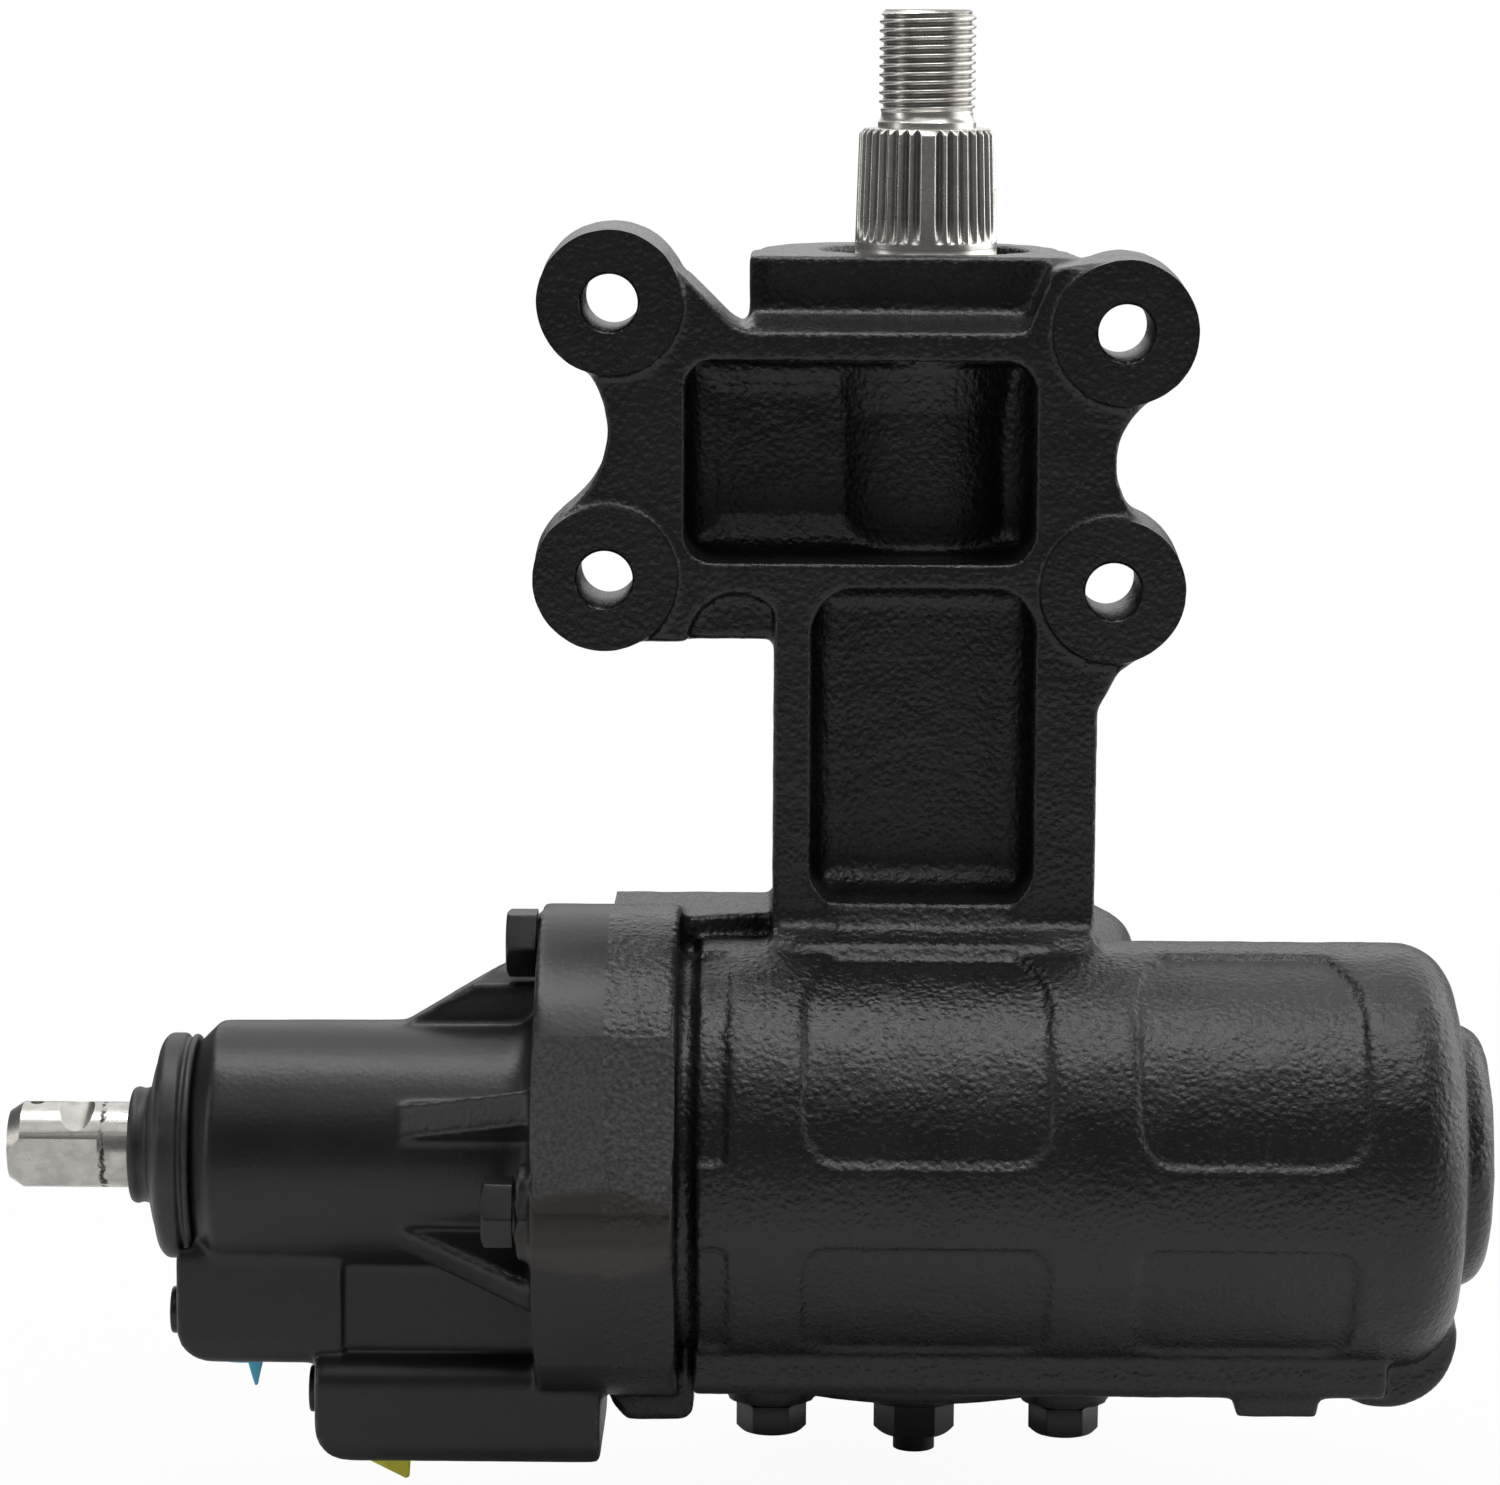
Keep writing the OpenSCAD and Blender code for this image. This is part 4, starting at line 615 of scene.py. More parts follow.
def ring(centre, toward, inner, outer, start, end):
    """A tube along a direction, from start to end as distances from a centre."""
    outline = [(inner, start), (outer, start), (outer, end), (inner, end)]
    return placed(lathe(outline, 96, True), centre, toward)


def shaded(mesh, angle=35):
    """Smooth shading that keeps edges sharper than an angle in degrees."""
    mesh.polygons.foreach_set("use_smooth", [True] * len(mesh.polygons))
    mesh.set_sharp_from_angle(angle=math.radians(angle))
    return mesh


def points_of(mesh, kind="co"):
    """The places of a mesh's points, or their normals, as rows of three numbers."""
    values = np.zeros(len(mesh.vertices) * 3, np.float32)
    mesh.vertices.foreach_get(kind, values)
    return values.reshape(-1, 3)


def keep(mesh, name, values):
    """Keeps a value on each point of a mesh, for its finish."""
    kept = attribute_of(mesh, name, "FLOAT", "POINT")
    kept.data.foreach_set("value", values.astype(np.float32))


def attribute_of(mesh, name, kind, domain):
    """An attribute of a mesh, made where it isn't there yet."""
    return mesh.attributes.get(name) or mesh.attributes.new(name, kind, domain)


def islands(node):
    """The boxes of the separate solids in a CAD node, from lowest to highest corner."""
    made = welded(NODES[node].data)
    left = set(made.verts)
    boxes = []
    while left:
        queue = [left.pop()]
        group = []
        while queue:
            vert = queue.pop()
            group.append(vert.co.copy())
            for edge in vert.link_edges:
                other = edge.other_vert(vert)
                if other in left:
                    left.remove(other)
                    queue.append(other)
        points = np.array(group)
        boxes.append((Vector(points.min(0)), Vector(points.max(0))))
    made.free()
    return sorted(boxes, key=lambda box: tuple(box[0]))


def wear(mesh, finish):
    """Gives a mesh one finish."""
    mesh.materials.clear()
    mesh.materials.append(finish)


def add_piece(name, mesh, finish, body, slot, *nodes):
    """Puts a mesh in the scene as a piece that rides on a body and stands for CAD nodes."""
    mesh.name = name
    wear(mesh, finish)
    piece = bpy.data.objects.new(name, mesh)
    bpy.context.scene.collection.objects.link(piece)
    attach(piece, body)
    if nodes:
        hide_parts(*nodes)
    return piece


# Castings

# Lengths of the sand mould's slow waves and of its fine grain
SWELL_LENGTH, GRAIN_LENGTH = 7 * MM, 2.6 * MM

# Stock that is cast onto a face and machined away again
SPARE = 5 * MM

# Outer radius of the cut that faces the joint
JOINT_RADIUS = 90 * MM

# The lower pocket's lip and the pad below it, in millimetres behind the plate's face and above
# the lip's top
LIP_FACE = ((1, 0), (-0.1, -0.8), (-0.4, -2.4), (-2.2, -5.8), (-2.6, -7.5), (1, -7.5))
LIP_PAD = ((1, -5.9), (-3, -6.2), (-8, -8.2), (-9.3, -10.5), (-9.3, -15), (1, -15))


def parting_plane(size):
    """Where the two housings meet, along X."""
    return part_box("valve_housing")[1].x - size.spigot_length


def cast_mesh(mesh, voxel, passes, swell, grain):
    """Fillets a casting on a fine grid and gives it the waves and grain of a sand mould."""
    rough = settled(mesh, ("REMESH", {"mode": "VOXEL", "voxel_size": voxel, "adaptivity": 0.0}))
    before = points_of(rough)
    made = settled(rough, ("SMOOTH", {"factor": 0.5, "iterations": passes}))
    points = points_of(made)
    normals = points_of(made, "normal")
    edge = np.einsum("ij,ij->i", before - points, normals) / voxel
    waves = np.array([
        swell * noise.noise(Vector(p) / SWELL_LENGTH)
        + grain * noise.noise(Vector(p) / GRAIN_LENGTH) for p in points])
    points = points + normals * waves[:, None]
    made.vertices.foreach_set("co", points.astype(np.float32).ravel())
    # How convex each point is; the paint lightens convex edges with it, partly as painted glints
    keep(made, "edge", edge)
    made.update()
    return made


def grown(mesh, axis, plane, length):
    """A CAD mesh whose flat faces on a plane across an axis are drawn out by a length."""
    made = welded(mesh)
    faces = [face for face in made.faces
             if all(abs(vert.co[axis] - plane) < ON_PLANE for vert in face.verts)]
    drawn = bmesh.ops.extrude_face_region(made, geom=faces)
    moved = [part for part in drawn["geom"] if isinstance(part, bmesh.types.BMVert)]
    bmesh.ops.translate(made, vec=unit(axis) * length, verts=moved)
    bmesh.ops.delete(made, geom=faces, context="FACES")
    return baked(made)


def fillet(corner, first, second, radius):
    """The outline that rounds an inner corner between two directions in a plane."""
    corner, first, second = Vector(corner), Vector(first), Vector(second)
    sunk, steps = 1.5 * MM, 6
    arc = []
    for step in range(steps + 1):
        turn = step / steps * math.pi / 2
        arc.append(corner + first * radius * (1 - math.sin(turn))
                   + second * radius * (1 - math.cos(turn)))
    return [corner - (first + second) * sunk, arc[0] - second * sunk, *arc, arc[-1] - first * sunk]


def basin(left, right, bottom, top, back, radius):
    """The solids that round the corners between a pocket's floor and its four walls."""
    return [
        prism(fillet((left, back), (1, 0), (0, -1), radius), 2, bottom, top),
        prism(fillet((right, back), (-1, 0), (0, -1), radius), 2, bottom, top),
        prism(fillet((back, bottom), (-1, 0), (0, 1), radius), 0, left, right),
        prism(fillet((back, top), (-1, 0), (0, -1), radius), 0, left, right),
    ]


def upper_pocket(size):
    """The solids that round the upper pocket's corners."""
    low, high = [Vector(corner) for corner in OPENINGS["upper_pocket"]]
    edge, behind = 2 * MM, 6 * MM
    return basin(low.x - edge, high.x + edge, low.z - edge, high.z + edge, high.y + behind,
                 size.pocket_round)


def lower_pocket(size):
    """The lower pocket's shallow floor with rounded corners, and the lip that closes it below."""
    low, high = [Vector(corner) for corner in OPENINGS["lower_pocket"]]
    left, right = low.x - 1.5 * MM, high.x + 2 * MM
    top, lip = high.z + 6.8 * MM, low.z - size.pocket_lip
    bottom = lip - 15 * MM
    back, front, depth, bury = high.y + 0.8 * MM, size.plate_face, 30 * MM, 1 * MM
    ledge = front + 0.6 * MM
    wide = (left - bury, right + bury)
    face, pad = [[(front + y * MM, lip + z * MM) for y, z in shape]
                 for shape in (LIP_FACE, LIP_PAD)]
    return [
        prism([(back, bottom), (back, top + bury), (depth, top + bury), (depth, bottom)], 0, *wide),
        prism([(ledge, bottom), (ledge, lip), (depth, lip), (depth, bottom)], 0, *wide),
        prism(face, 0, left + 6.5 * MM, right - 6 * MM),
        prism(pad, 0, left - 3 * MM, right + 3.5 * MM),
        *basin(left, right, lip, top, back, size.pocket_round),
    ]


def flange_flats(size, start, end):
    """A point, a direction and the solid beyond for each flat beside the flanges' front lobe."""
    half, beyond = 24 * MM, 12 * MM
    made = []
    for turn in (size.upper_flat, size.lower_flat):
        out = Vector((0, -math.cos(turn), math.sin(turn)))
        along = out.cross(Vector((1, 0, 0)))
        foot = WORM_AXIS + out * size.flat_reach
        corners = [foot + along * side + out * away
                   for side, away in ((-half, 0), (half, 0), (half, beyond), (-half, beyond))]
        tool = prism([(corner.y, corner.z) for corner in corners], 0, start, end)
        made.append((foot, out, tool))
    return made


def hole_fills(node, axis):
    """Rods that close the holes of a node's bolts, which the bolts fill anyway."""
    radius, head, tip = 6 * MM, 8.5 * MM, 2 * MM
    made = []
    for low, high in islands(node):
        half = (high[axis] - low[axis]) / 2
        made.append(solid_rod((low + high) / 2, unit(axis), radius, head - half, half - tip))
    return made


def machined(mesh, point, toward, dull=0.0):
    """Shades faces on a plane flat, with sharp edges round them, and marks how matte they are and
    how much painted sheen they get.
    """
    on_plane = np.abs((points_of(mesh) - np.array(point)) @ np.array(toward)) < ON_CUT
    sharp = attribute_of(mesh, "sharp_edge", "BOOLEAN", "EDGE")
    wear_and_sheen = attribute_of(mesh, "dull", "FLOAT", "FACE")
    for face in mesh.polygons:
        if all(on_plane[i] for i in face.vertices):
            face.use_smooth = False
            wear_and_sheen.data[face.index].value = dull
            for loop in face.loop_indices:
                sharp.data[mesh.loops[loop].edge_index].value = True


def faced(skin, angle, flats, *tools):
    """A skin cut by tools and at the flanges' flats. A flat that faces upward is matte and gets a
    painted sheen.
    """
    skin = shaded(cut(skin, *tools, *[tool for foot, out, tool in flats]), angle)
    for foot, out, tool in flats:
        machined(skin, foot, out, max(0, out.z))
    return skin


class GEARBOX_OT_gear_housing(Operator):
    """Makes the gear housing's cast skin with its machined lug faces, lug holes and joint face"""
    bl_idname = "gearbox.gear_housing"
    bl_label = "Gear Housing"

    def execute(self, context):
        size = context.scene.gearbox_castings
        front = Vector((0, -1, 0))
        parting = parting_plane(size)
        worm = Vector((parting, WORM_AXIS.y, WORM_AXIS.z))
        hole, chamfer, length = size.lug_hole, size.lug_chamfer, size.lug_length
        faces = [Vector((lug.x, 0, lug.z)) for lug in LUGS]
        whole = grown(NODES["gear_housing"].data, 0, parting, -SPARE)
        fills = hole_fills("valve_housing_bolts", 0) + hole_fills("side_cover_bolts", 2)
        fills += upper_pocket(size) + lower_pocket(size)
        for face in faces:
            fills.append(solid_rod(face, front, size.lug_radius, -SPARE, SPARE))
            fills.append(solid_rod(face, front, hole + 2 * MM, 1 * MM - length, SPARE))
        skin = cast_mesh(
            joined(whole, *fills), size.gear_voxel, size.gear_passes, size.swell, size.grain)
        outline = [(hole, -length - SPARE), (hole, -chamfer), (hole + 2 * chamfer, chamfer)]
        wide = size.lug_radius + 3 * MM
        facing = joined(*[solid_rod(face, front, wide, 0, 2 * SPARE) for face in faces])
        holes = joined(*[placed(lathe(outline, 64), face, front) for face in faces])
        joint = ring(worm, (-1, 0, 0), 35 * MM, JOINT_RADIUS, 0, 4 * SPARE)
        flats = flange_flats(size, parting - SPARE, parting + size.flange_depth)
        skin = faced(skin, 50, flats, facing, holes, joint)
        machined(skin, faces[0], front)
        add_piece("gear_housing_skin", skin, finishes(context)["rough_cast_paint"], "housing",
                  "cast_paint", "gear_housing")
        return {"FINISHED"}


class GEARBOX_OT_valve_housing(Operator):
    """Makes the valve housing's smoother cast skin with its machined joint face"""
    bl_idname = "gearbox.valve_housing"
    bl_label = "Valve Housing"

    def execute(self, context):
        size = context.scene.gearbox_castings
        parting = parting_plane(size)
        worm = Vector((parting, WORM_AXIS.y, WORM_AXIS.z))
        whole = grown(NODES["valve_housing"].data, 0, parting, SPARE)
        skin = cast_mesh(
            joined(whole, *hole_fills("valve_housing_bolts", 0)), size.valve_voxel,
            size.valve_passes, 0.35 * size.swell, 0.2 * size.grain)
        joint = ring(worm, (1, 0, 0), size.spigot_radius, JOINT_RADIUS, 0, 4 * SPARE)
        flats = flange_flats(size, parting - size.flange_depth, parting + SPARE)
        add_piece("valve_housing_skin", faced(skin, 60, flats, joint),
                  finishes(context)["fine_cast_paint"], "housing", "valve_paint", "valve_housing")
        return {"FINISHED"}


class GEARBOX_OT_side_cover(Operator):
    """Makes the side cover's cast skin"""
    bl_idname = "gearbox.side_cover"
    bl_label = "Side Cover"

    def execute(self, context):
        size = context.scene.gearbox_castings
        skin = cast_mesh(
            joined(NODES["side_cover"].data, *hole_fills("side_cover_bolts", 2)),
            size.valve_voxel, size.valve_passes, 0.5 * size.swell, 0.4 * size.grain)
        add_piece("side_cover_skin", shaded(skin, 60), finishes(context)["cover_cast_paint"],
                  "housing", "cover_paint", "side_cover")
        return {"FINISHED"}


# Fasteners

# Radii of a hexagon's round top and of a bolt's washer face, as shares of the width across flats
TOP_SHARE, WASHER_SHARE = 0.475, 0.47


def hexagon(flats, height, slope, both=False):
    """A hexagon standing on Z with chamfered corners on top, or on both ends."""
    steps = 72
    inner = TOP_SHARE * flats
    turns = [2 * math.pi * i / steps for i in range(steps)]
    reach = [flats / 2 / math.cos((a % (math.pi / 3)) - math.pi / 6) for a in turns]
    drop = [max(0.0, r - inner) * math.tan(slope) for r in reach]
    circle = [(math.cos(a), math.sin(a)) for a in turns]
    rows = []
    if both:
        rows.append([(inner * c, inner * s, 0) for c, s in circle])
    rows.append([(r * c, r * s, d if both else 0) for (c, s), r, d in zip(circle, reach, drop)])
    rows.append([(r * c, r * s, height - d) for (c, s), r, d in zip(circle, reach, drop)])
    rows.append([(inner * c, inner * s, height) for c, s in circle])
    return from_grid(rows, True)


def bolt(size, length):
    """A hexagon bolt: its seat at the origin, its head along +Z and its shank along -Z."""
    washer, tip = 0.7 * MM, 1 * MM
    rim, radius = WASHER_SHARE * size.head_flats, size.shank_radius
    head = hexagon(size.head_flats, size.head_height - washer, size.chamfer_angle)
    head.transform(Matrix.Translation((0, 0, washer)))
    dish = lathe(rounded([(0, washer), (rim, washer), (rim, 0), (0, 0)], 0.2 * MM))
    shank = lathe([(radius, 0), (radius, -length + tip), (radius - tip, -length)], 48)
    head = settled(head, ("BEVEL", {
        "width": 0.25 * MM, "segments": 2, "limit_method": "ANGLE",
        "angle_limit": math.radians(20)}))
    return joined(head, dish, shank)


class GEARBOX_OT_bolts(Operator):
    """Makes the bolts of the housing joint and of the side cover"""
    bl_idname = "gearbox.bolts"
    bl_label = "Bolts"

    def execute(self, context):
        size = context.scene.gearbox_fasteners
        finish = finishes(context)["fastener_paint"]
        sets = (("joint_bolts", "valve_housing_bolts", 0), ("cover_bolts", "side_cover_bolts", 2))
        for name, node, axis in sets:
            made = []
            for low, high in islands(node):
                seat = (low + high) / 2
                seat[axis] = low[axis] + size.head_height
                one = bolt(size, high[axis] - seat[axis])
                one.transform(Matrix.Rotation(math.pi / 6, 4, "Z"))
                made.append(placed(one, seat, -unit(axis)))
            add_piece(name, shaded(joined(*made)), finish, "housing", "bolt_paint", node)
        return {"FINISHED"}


class GEARBOX_OT_adjuster(Operator):
    """Makes the adjuster's lock nut and finishes the adjuster screw"""
    bl_idname = "gearbox.adjuster"
    bl_label = "Adjuster"

    def execute(self, context):
        size = context.scene.gearbox_fasteners
        finish = finishes(context)["fastener_paint"]
        low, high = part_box("adjuster_lock_nut")
        height = high.z - low.z
        bore, beyond = 4.92 * MM, 1 * MM
        nut = hexagon(size.nut_flats, height, size.chamfer_angle, True)
        nut = cut(nut, lathe([(bore, -beyond), (bore, height + beyond)], 48))
        nut = placed(nut, Vector(((low.x + high.x) / 2, (low.y + high.y) / 2, low.z)), (0, 0, 1))
        add_piece("adjuster_nut", shaded(nut), finish, "housing", "bolt_paint", "adjuster_lock_nut")
        wear(NODES["adjuster_screw"].data, finish)
        return {"FINISHED"}


# Shafts


def limited(value):
    """A value held between 0 and 1."""
    return min(1.0, max(0.0, value))


class GEARBOX_OT_sector_shaft(Operator):
    """Makes the sector shaft with serrations that run out and the pitman nut's thread"""
    bl_idname = "gearbox.sector_shaft"
    bl_label = "Sector Shaft"

    def execute(self, context):
        size = context.scene.gearbox_shafts
        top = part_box("sector_shaft")[1].z
        foot = top - size.thread_length - size.cone_length - size.serration_length
        axis = Vector((SHAFT_AXIS.x, SHAFT_AXIS.y, 0))
        shaft = baked(welded(NODES["sector_shaft"].data))
        shaft = cut(shaft, solid_rod(axis, (0, 0, 1), 20 * MM, foot, top + 5 * MM))
        end = joined(self.serrations(size), self.thread(size))
        end.transform(Matrix.Translation((axis.x, axis.y, foot)))
        shaft = shaded(joined(shaft, end), 40)
        # How deep each point lies in a groove, which the steel turns into painted shade
        keep(shaft, "groove", self.grooves(
            points_of(shaft) - np.array((axis.x, axis.y, foot)), size))
        add_piece("sector_shaft_turned", shaft, finishes(context)["shaft_steel"], "sector",
                  "bare_steel", "sector_shaft")
        return {"FINISHED"}

    def grooves(self, points, size):
        """How deep points lie in the grooves of the serrations and of the thread, from 0 to 1."""
        x, y, z = points.T
        taper = size.serration_top - size.serration_foot
        crest = size.serration_foot + taper * z / size.serration_length
        crest = np.where(z < size.serration_length, crest, size.thread_radius)
        depth = (crest - np.hypot(x, y)) / size.thread_depth
        return np.where(z > 0.1 * MM, depth, 0).clip(0, 1)

    def serrations(self, size):
        """The tapered serrated length: V grooves that run out at the foot, with four wide teeth."""
        per_groove, row = 12, 0.3 * MM
        bevel, run_out_start, run_out = 1.3 * MM, 1.2 * MM, 5.5 * MM
        land, sharpness = 1.12, 1.25
        steps = size.serration_count * per_groove
        count = round(size.serration_length / row)
        rows = []
        for i in range(count + 1):
            z = size.serration_length * i / count
            outer = size.serration_foot + (size.serration_top - size.serration_foot) * i / count
            slope = max(0.0, bevel - (size.serration_length - z))
            fade = limited((z - run_out_start) / run_out) ** 0.5
            row_points = []
            for k in range(steps):
                groove, part = divmod(k, per_groove)
                wide = groove % (size.serration_count // 4) == 0
                across = abs(2 * part / per_groove - 1)
                valley = 0.0 if wide else max(0.0, 1 - across * land)
                r = outer - size.serration_depth * min(1.0, sharpness * valley) * fade
                r = min(r, outer - slope)
                turn = 2 * math.pi * (k - per_groove / 2) / steps - math.pi / 2
                row_points.append((r * math.cos(turn), r * math.sin(turn), z))
            rows.append(row_points)
        return from_grid(rows, True)

    def thread(self, size):
        """The flared shank and the thread as rings of points whose radius follows the helix."""
        steps, rows_per_pitch = 96, 16
        flare, chamfer, bite, lip = size.cone_length, 1.5 * MM, 0.4 * MM, 0.2 * MM
        crest_share, flank_share = 0.16, 0.72
        length = flare + bite + size.thread_length
        count = int(length / size.thread_pitch * rows_per_pitch)
        root = size.serration_top - size.serration_depth
        shank = size.thread_radius - 0.55 * size.thread_depth
        rows = []
        for i in range(count + 1):
            z = length * i / count - bite
            along = limited(z / flare)
            body = shank + (root - shank) * (1 - math.sqrt(1 - (1 - along) ** 2))
            fade = limited((z - flare) / size.thread_pitch)
            limit = size.thread_radius + lip - max(0.0, z - flare - size.thread_length + chamfer)
            row_points = []
            for k in range(steps):
                phase = (z / size.thread_pitch - k / steps) % 1.0
                ridge = limited((abs(2 * phase - 1) - crest_share) / flank_share)
                r = size.thread_radius - size.thread_depth * (0.5 - 0.5 * math.cos(math.pi * ridge))
                r = min(body + (r - body) * fade, limit)
                turn = 2 * math.pi * (k / steps)
                row_points.append((r * math.cos(turn), r * math.sin(turn), z))
            rows.append(row_points)
        made = from_grid(rows, True)
        made.transform(Matrix.Translation((0, 0, size.serration_length)))
        return made


class GEARBOX_OT_input_shaft(Operator):
    """Finishes the input shaft, the torsion bar and their pin"""
    bl_idname = "gearbox.input_shaft"
    bl_label = "Input Shaft"

    def execute(self, context):
        for name in ("input_shaft", "torsion_bar", "torsion_bar_pin"):
            wear(NODES[name].data, finishes(context)["input_steel"])
        return {"FINISHED"}


# Rubber and plastic

# The dust cover's outline in millimetres: the neck's folds from the neck's radius and the cover's
# front, the flare and its lips from the rim's radius and the cover's end
NECK_FOLDS = ((-0.6, 0), (0, 1.2), (-0.5, 2.8), (0, 4.4))
RIM_LIPS = ((-6.2, -9.2), (-4.6, -8.6), (-1.6, -8.0), (0, -6.6), (0, -3.0), (-1.0, -2.3),
            (-0.9, -1.6), (-0.2, -1.1), (-0.5, 0))

# Outlines of the plugs' pull tabs in millimetres, across and up from the port's middle
BLUE_TAB = ((1.0, 0.4), (4.6, 0.4), (3.8, -3.0), (3.3, -5.4), (2.7, -5.6), (1.9, -3.0))
YELLOW_TAB = ((-8.6, 0.4), (1.3, 0.4), (0.9, -5.5), (0.1, -5.9), (-8.0, -1.8))


class GEARBOX_OT_dust_cover(Operator):
    """Makes the rubber dust cover on the input end with its lips and folds"""
    bl_idname = "gearbox.dust_cover"
    bl_label = "Dust Cover"

    def execute(self, context):
        low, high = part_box("input_dust_cover")
        rim = (high.z - low.z) / 2
        length = high.x - low.x
        neck, bore, seat = 13.2 * MM, 9.7 * MM, 19 * MM
        outline = [
            (bore, 0), *[(neck + r * MM, z * MM) for r, z in NECK_FOLDS],
            *[(rim + r * MM, length + z * MM) for r, z in RIM_LIPS], (seat, length),
            (seat, length - 4 * MM), (14.2 * MM, length - 6 * MM), (12.2 * MM, 5 * MM),
            (bore, 5 * MM)]
        cover = lathe(rounded(outline, 1.1 * MM, 4, True), 96, True)
        middle = (low + high) / 2
        cover = placed(cover, Vector((low.x, middle.y, middle.z)), (1, 0, 0))
        add_piece("dust_cover", shaded(cover), finishes(context)["black_rubber"], "housing",
                  "seal_rubber", "input_dust_cover")
        return {"FINISHED"}


class GEARBOX_OT_port_plugs(Operator):
    """Makes the blue and yellow shipping plugs with their pull tabs, and the passage plugs"""
    bl_idname = "gearbox.port_plugs"
    bl_label = "Port Plugs"

    def execute(self, context):
        made = finishes(context)
        for port, colour, tab in (
                ("return_port", "blue", BLUE_TAB), ("pressure_port", "yellow", YELLOW_TAB)):
            self.plug(made[colour + "_moulding"], port + "_plug", port, colour + "_plastic", tab)
        discs = []
        proud = 1.1 * MM
        for low, high in islands("passage_plugs"):
            radius = (high.z - low.z) / 2
            length = high.x - low.x
            outline = [(0, length), (radius, length), (radius, -proud), (0, -proud)]
            middle = (low + high) / 2
            discs.append(placed(lathe(rounded(outline, 0.7 * MM)),
                                Vector((low.x, middle.y, middle.z)), (1, 0, 0)))
        add_piece("passage_discs", shaded(joined(*discs)), made["fastener_paint"], "housing",
                  "bolt_paint", "passage_plugs")
        return {"FINISHED"}

    def plug(self, finish, node, port, slot, tab):
        """A cap in a port with a flat pull tab below its front edge."""
        place = mount_at(port)
        radius, rim, cap, thick = 7.5 * MM, 8.7 * MM, 1.6 * MM, 1.2 * MM
        inner, top = radius - 2.2 * MM, 9.8 * MM
        body = lathe(rounded([
            (0, thick), (inner, thick), (inner, top), (radius - 0.7 * MM, top),
            (radius - 0.1 * MM, 0), (rim, 0), (rim, -cap), (0, -cap)], 0.3 * MM))
        body.transform(Matrix.Translation(place))
        flag = prism([(x * MM, z * MM - cap) for x, z in tab], 1, 0, thick)
        flag.transform(Matrix.Translation(place + Vector((0, -radius, 0))))
        flag = settled(flag, ("BEVEL", {"width": 0.3 * MM, "segments": 3}))
        add_piece(node + "_moulded", shaded(joined(body, flag)), finish, "housing", slot, node)


class GEARBOX_OT_inner_parts(Operator):
    """Gives the bearings, seals, worm, nut and other inner pieces their finishes"""
    bl_idname = "gearbox.inner_parts"
    bl_label = "Inner Parts"

    RUBBER = ("o_ring", "seal", "sleeve_rings", "piston_ring")
    BRONZE = ("bushing", "port_seats")

    def execute(self, context):
        made = finishes(context)
        for name, node in NODES.items():
            if node.hide_render or node.data.materials[0].name in made:
                continue
            finish = "inner_steel"
            if any(word in name for word in self.RUBBER) and "retaining" not in name:
                finish = "black_rubber"
            if any(word in name for word in self.BRONZE):
                finish = "turned_bronze"
            wear(node.data, made[finish])
        return {"FINISHED"}


# Studio

WHITE = (1, 1, 1, 1)

# Each lamp's place from the gearbox's middle, its width and its height, in metres
LAMPS = {
    "top_light": ((-0.05, -0.09, 0.98), (1.3, 0.24)),
    "front_light": ((0.10, -0.62, 0.88), (1.5, 0.6)),
    "left_light": ((-1.1, -0.25, 0.35), (0.25, 0.9)),
    "right_light": ((1.3, 0.35, 0.15), (1.5, 1.5)),
    "back_light": ((0.2, 1.2, 1.25), (3.0, 2.8)),
}


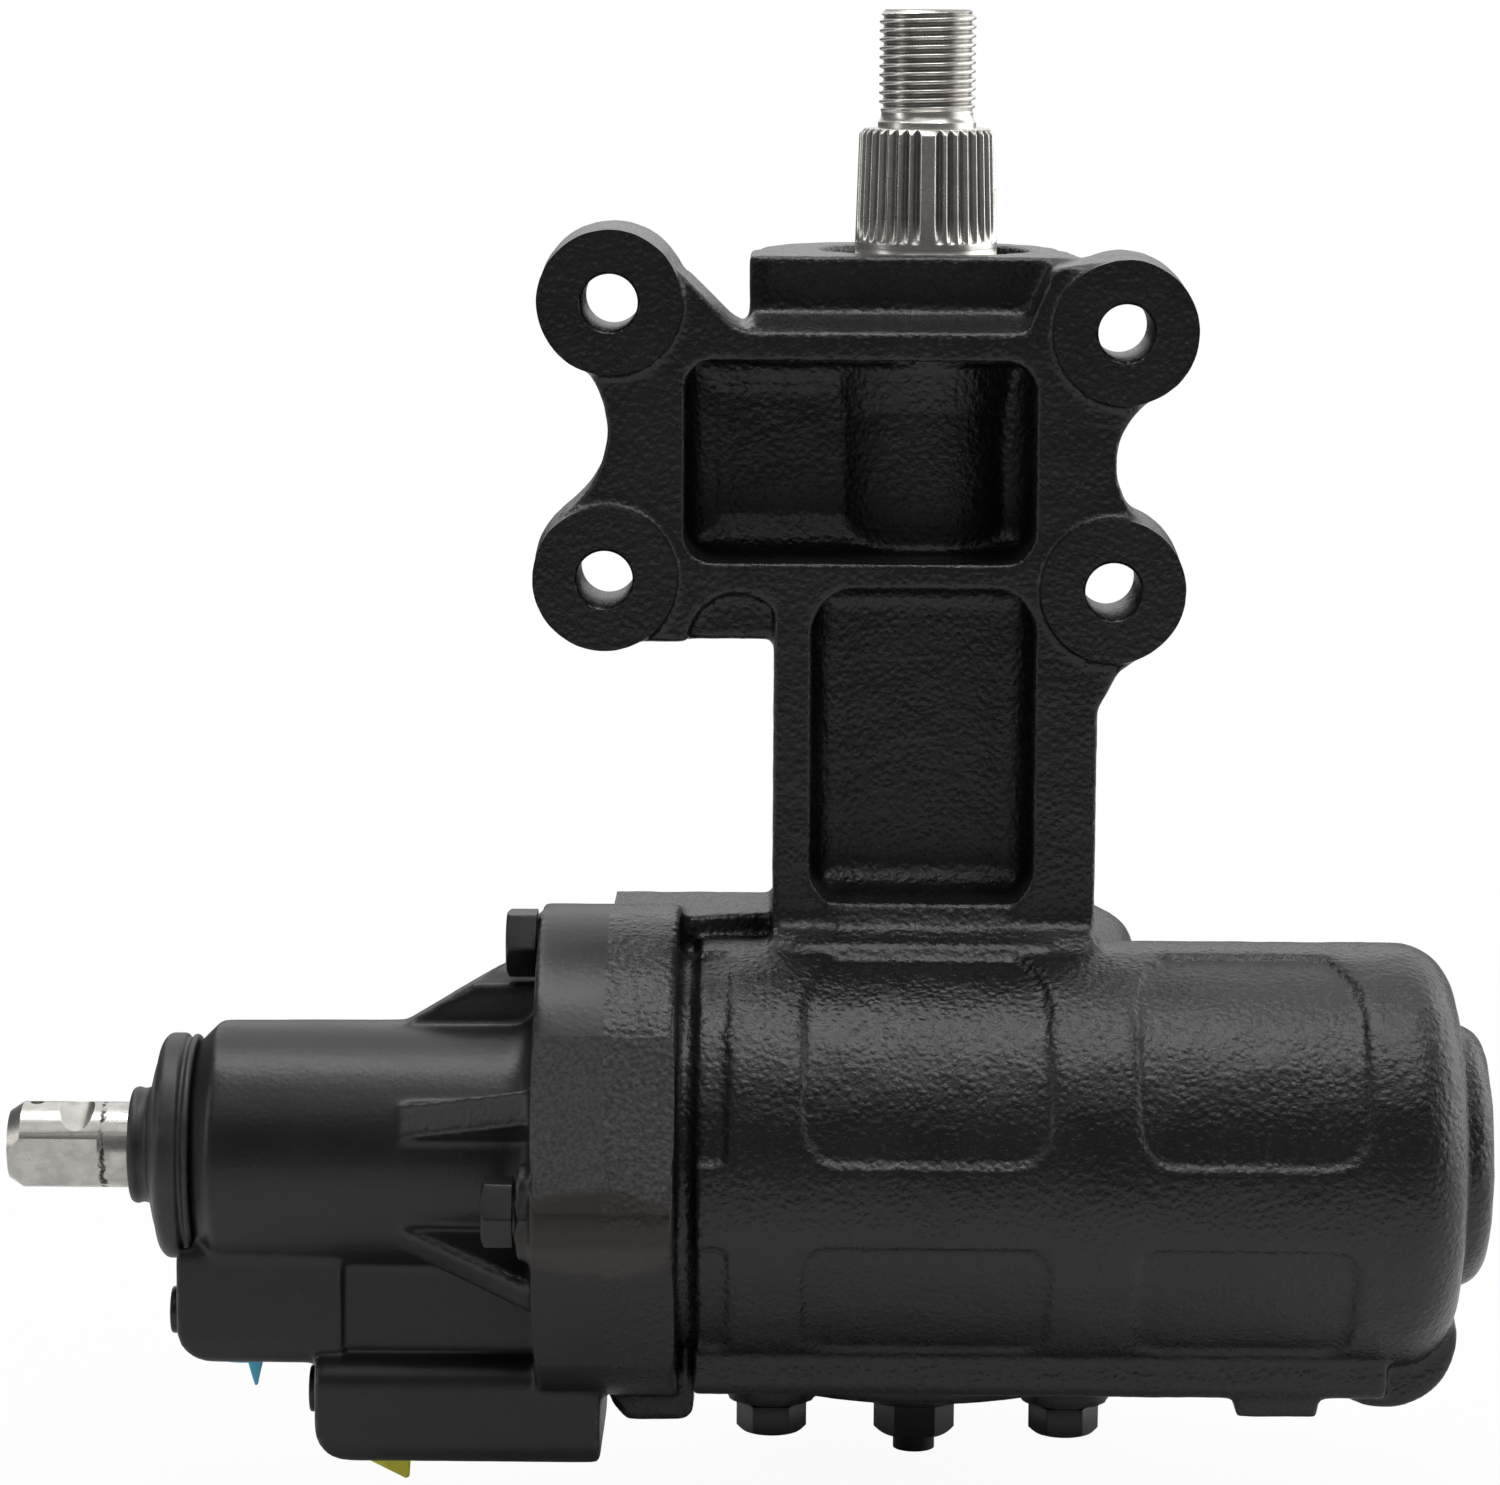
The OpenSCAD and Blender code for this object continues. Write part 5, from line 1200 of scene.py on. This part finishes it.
class GEARBOX_OT_stage(Operator):
    """Makes the camera, the floor, the room light and the lamps"""
    bl_idname = "gearbox.stage"
    bl_label = "Stage"

    def execute(self, context):
        studio = context.scene.gearbox_studio
        scene = context.scene
        scene.view_settings.view_transform = "Standard"
        data = bpy.data.cameras.new("camera")
        data.sensor_width = 36
        data.sensor_fit = "HORIZONTAL"
        data.lens = studio.camera_lens
        camera = bpy.data.objects.new("camera", data)
        camera.location = studio.camera_place
        camera.rotation_euler = Euler(studio.camera_turn)
        scene.collection.objects.link(camera)
        scene.camera = camera
        self.floor(studio)
        self.room(scene, studio)
        for name, (offset, size) in LAMPS.items():
            self.lamp(name, Vector(offset), size, getattr(studio, name))
        return {"FINISHED"}

    def floor(self, studio):
        """A wide pale floor that is almost white where the camera sees it, takes a shadow and has
        painted shade that darkens it away from the gearbox.
        """
        half = 6.0
        bottom = CAD_BOX[0].z - 1 * MM
        corners = ((-half, -half), (half, -half), (half, half), (-half, half))
        mesh = bpy.data.meshes.new("floor")
        mesh.from_pydata([(x, y, bottom) for x, y in corners], [], [(0, 1, 2, 3)])
        made = Finish("floor_card")
        seen = made.add("ShaderNodeLightPath", {}, {}, "Is Camera Ray")
        glow = made.add("ShaderNodeEmission", {}, {"Color": WHITE, "Strength": 1.0})
        away = made.vector("LENGTH", made.place, output="Value")
        white = 0.95 + away.between(0.35, 0.9) * 0.05
        near = tuple(studio.floor_colour)
        # Painted shade: the floor darkens away from the gearbox, which dims what the gearbox
        # reflects
        colour = made.mix(away.between(0.5, 1.1), near, times(near, 0.55))
        made.set(Base_Color=colour, Roughness=0.9, Specular_IOR_Level=0.0)
        both = made.add("ShaderNodeMixShader", {}, {
            0: seen * white, 1: Wire(made, made.shader.outputs[0]), 2: glow})
        made.feed(made.tree.nodes["Material Output"], {"Surface": both})
        mesh.materials.append(made.material)
        floor = bpy.data.objects.new("floor", mesh)
        bpy.context.scene.collection.objects.link(floor)

    def room(self, scene, studio):
        """Even light from all sides, white where the camera sees it."""
        scene.world = bpy.data.worlds.new("room")
        scene.world.use_nodes = True
        made = Nodes(scene.world.node_tree)
        seen = made.add("ShaderNodeLightPath", {}, {}, "Is Camera Ray")
        strength = made.add("ShaderNodeMapRange", {}, {
            "Value": seen, "To Min": studio.sky, "To Max": 1.0})
        made.feed(made.tree.nodes["Background"], {"Color": WHITE, "Strength": strength})

    def lamp(self, name, offset, size, power):
        """A soft rectangular lamp that faces the gearbox."""
        data = bpy.data.lights.new(name, "AREA")
        data.shape = "RECTANGLE"
        data.size, data.size_y = size
        data.energy = power
        lamp = bpy.data.objects.new(name, data)
        lamp.visible_camera = False
        lamp.location = (CAD_BOX[0] + CAD_BOX[1]) / 2 + offset
        lamp.rotation_euler = (-offset).to_track_quat("-Z", "Y").to_euler()
        bpy.context.scene.collection.objects.link(lamp)


class GEARBOX_PT_sidebar(Panel):
    """Lists the gearbox's settings and steps"""
    bl_idname = "GEARBOX_PT_sidebar"
    bl_label = "Steering Gearbox"
    bl_space_type = "VIEW_3D"
    bl_region_type = "UI"
    bl_category = "Gearbox"

    def draw(self, context):
        for name, group in SETTINGS:
            box = self.layout.box()
            settings = getattr(context.scene, name)
            for entry in group.__annotations__:
                box.prop(settings, entry)
        for operator in OPERATORS:
            self.layout.operator(operator.bl_idname)


SETTINGS = (
    ("gearbox_castings", CastingSettings),
    ("gearbox_fasteners", FastenerSettings),
    ("gearbox_shafts", ShaftSettings),
    ("gearbox_finishes", FinishSettings),
    ("gearbox_studio", StudioSettings),
)
OPERATORS = (
    GEARBOX_OT_stage,
    GEARBOX_OT_gear_housing,
    GEARBOX_OT_valve_housing,
    GEARBOX_OT_side_cover,
    GEARBOX_OT_bolts,
    GEARBOX_OT_adjuster,
    GEARBOX_OT_sector_shaft,
    GEARBOX_OT_input_shaft,
    GEARBOX_OT_dust_cover,
    GEARBOX_OT_port_plugs,
    GEARBOX_OT_inner_parts,
)


def register():
    for name, group in SETTINGS:
        bpy.utils.register_class(group)
        setattr(bpy.types.Scene, name, PointerProperty(type=group))
    for operator in OPERATORS:
        bpy.utils.register_class(operator)
    bpy.utils.register_class(GEARBOX_PT_sidebar)


def unregister():
    bpy.utils.unregister_class(GEARBOX_PT_sidebar)
    for operator in reversed(OPERATORS):
        bpy.utils.unregister_class(operator)
    for name, group in reversed(SETTINGS):
        delattr(bpy.types.Scene, name)
        bpy.utils.unregister_class(group)


def main():
    register()
    for operator in OPERATORS:
        family, step = operator.bl_idname.split(".")
        getattr(getattr(bpy.ops, family), step)()


if __name__ == "__main__":
    main()
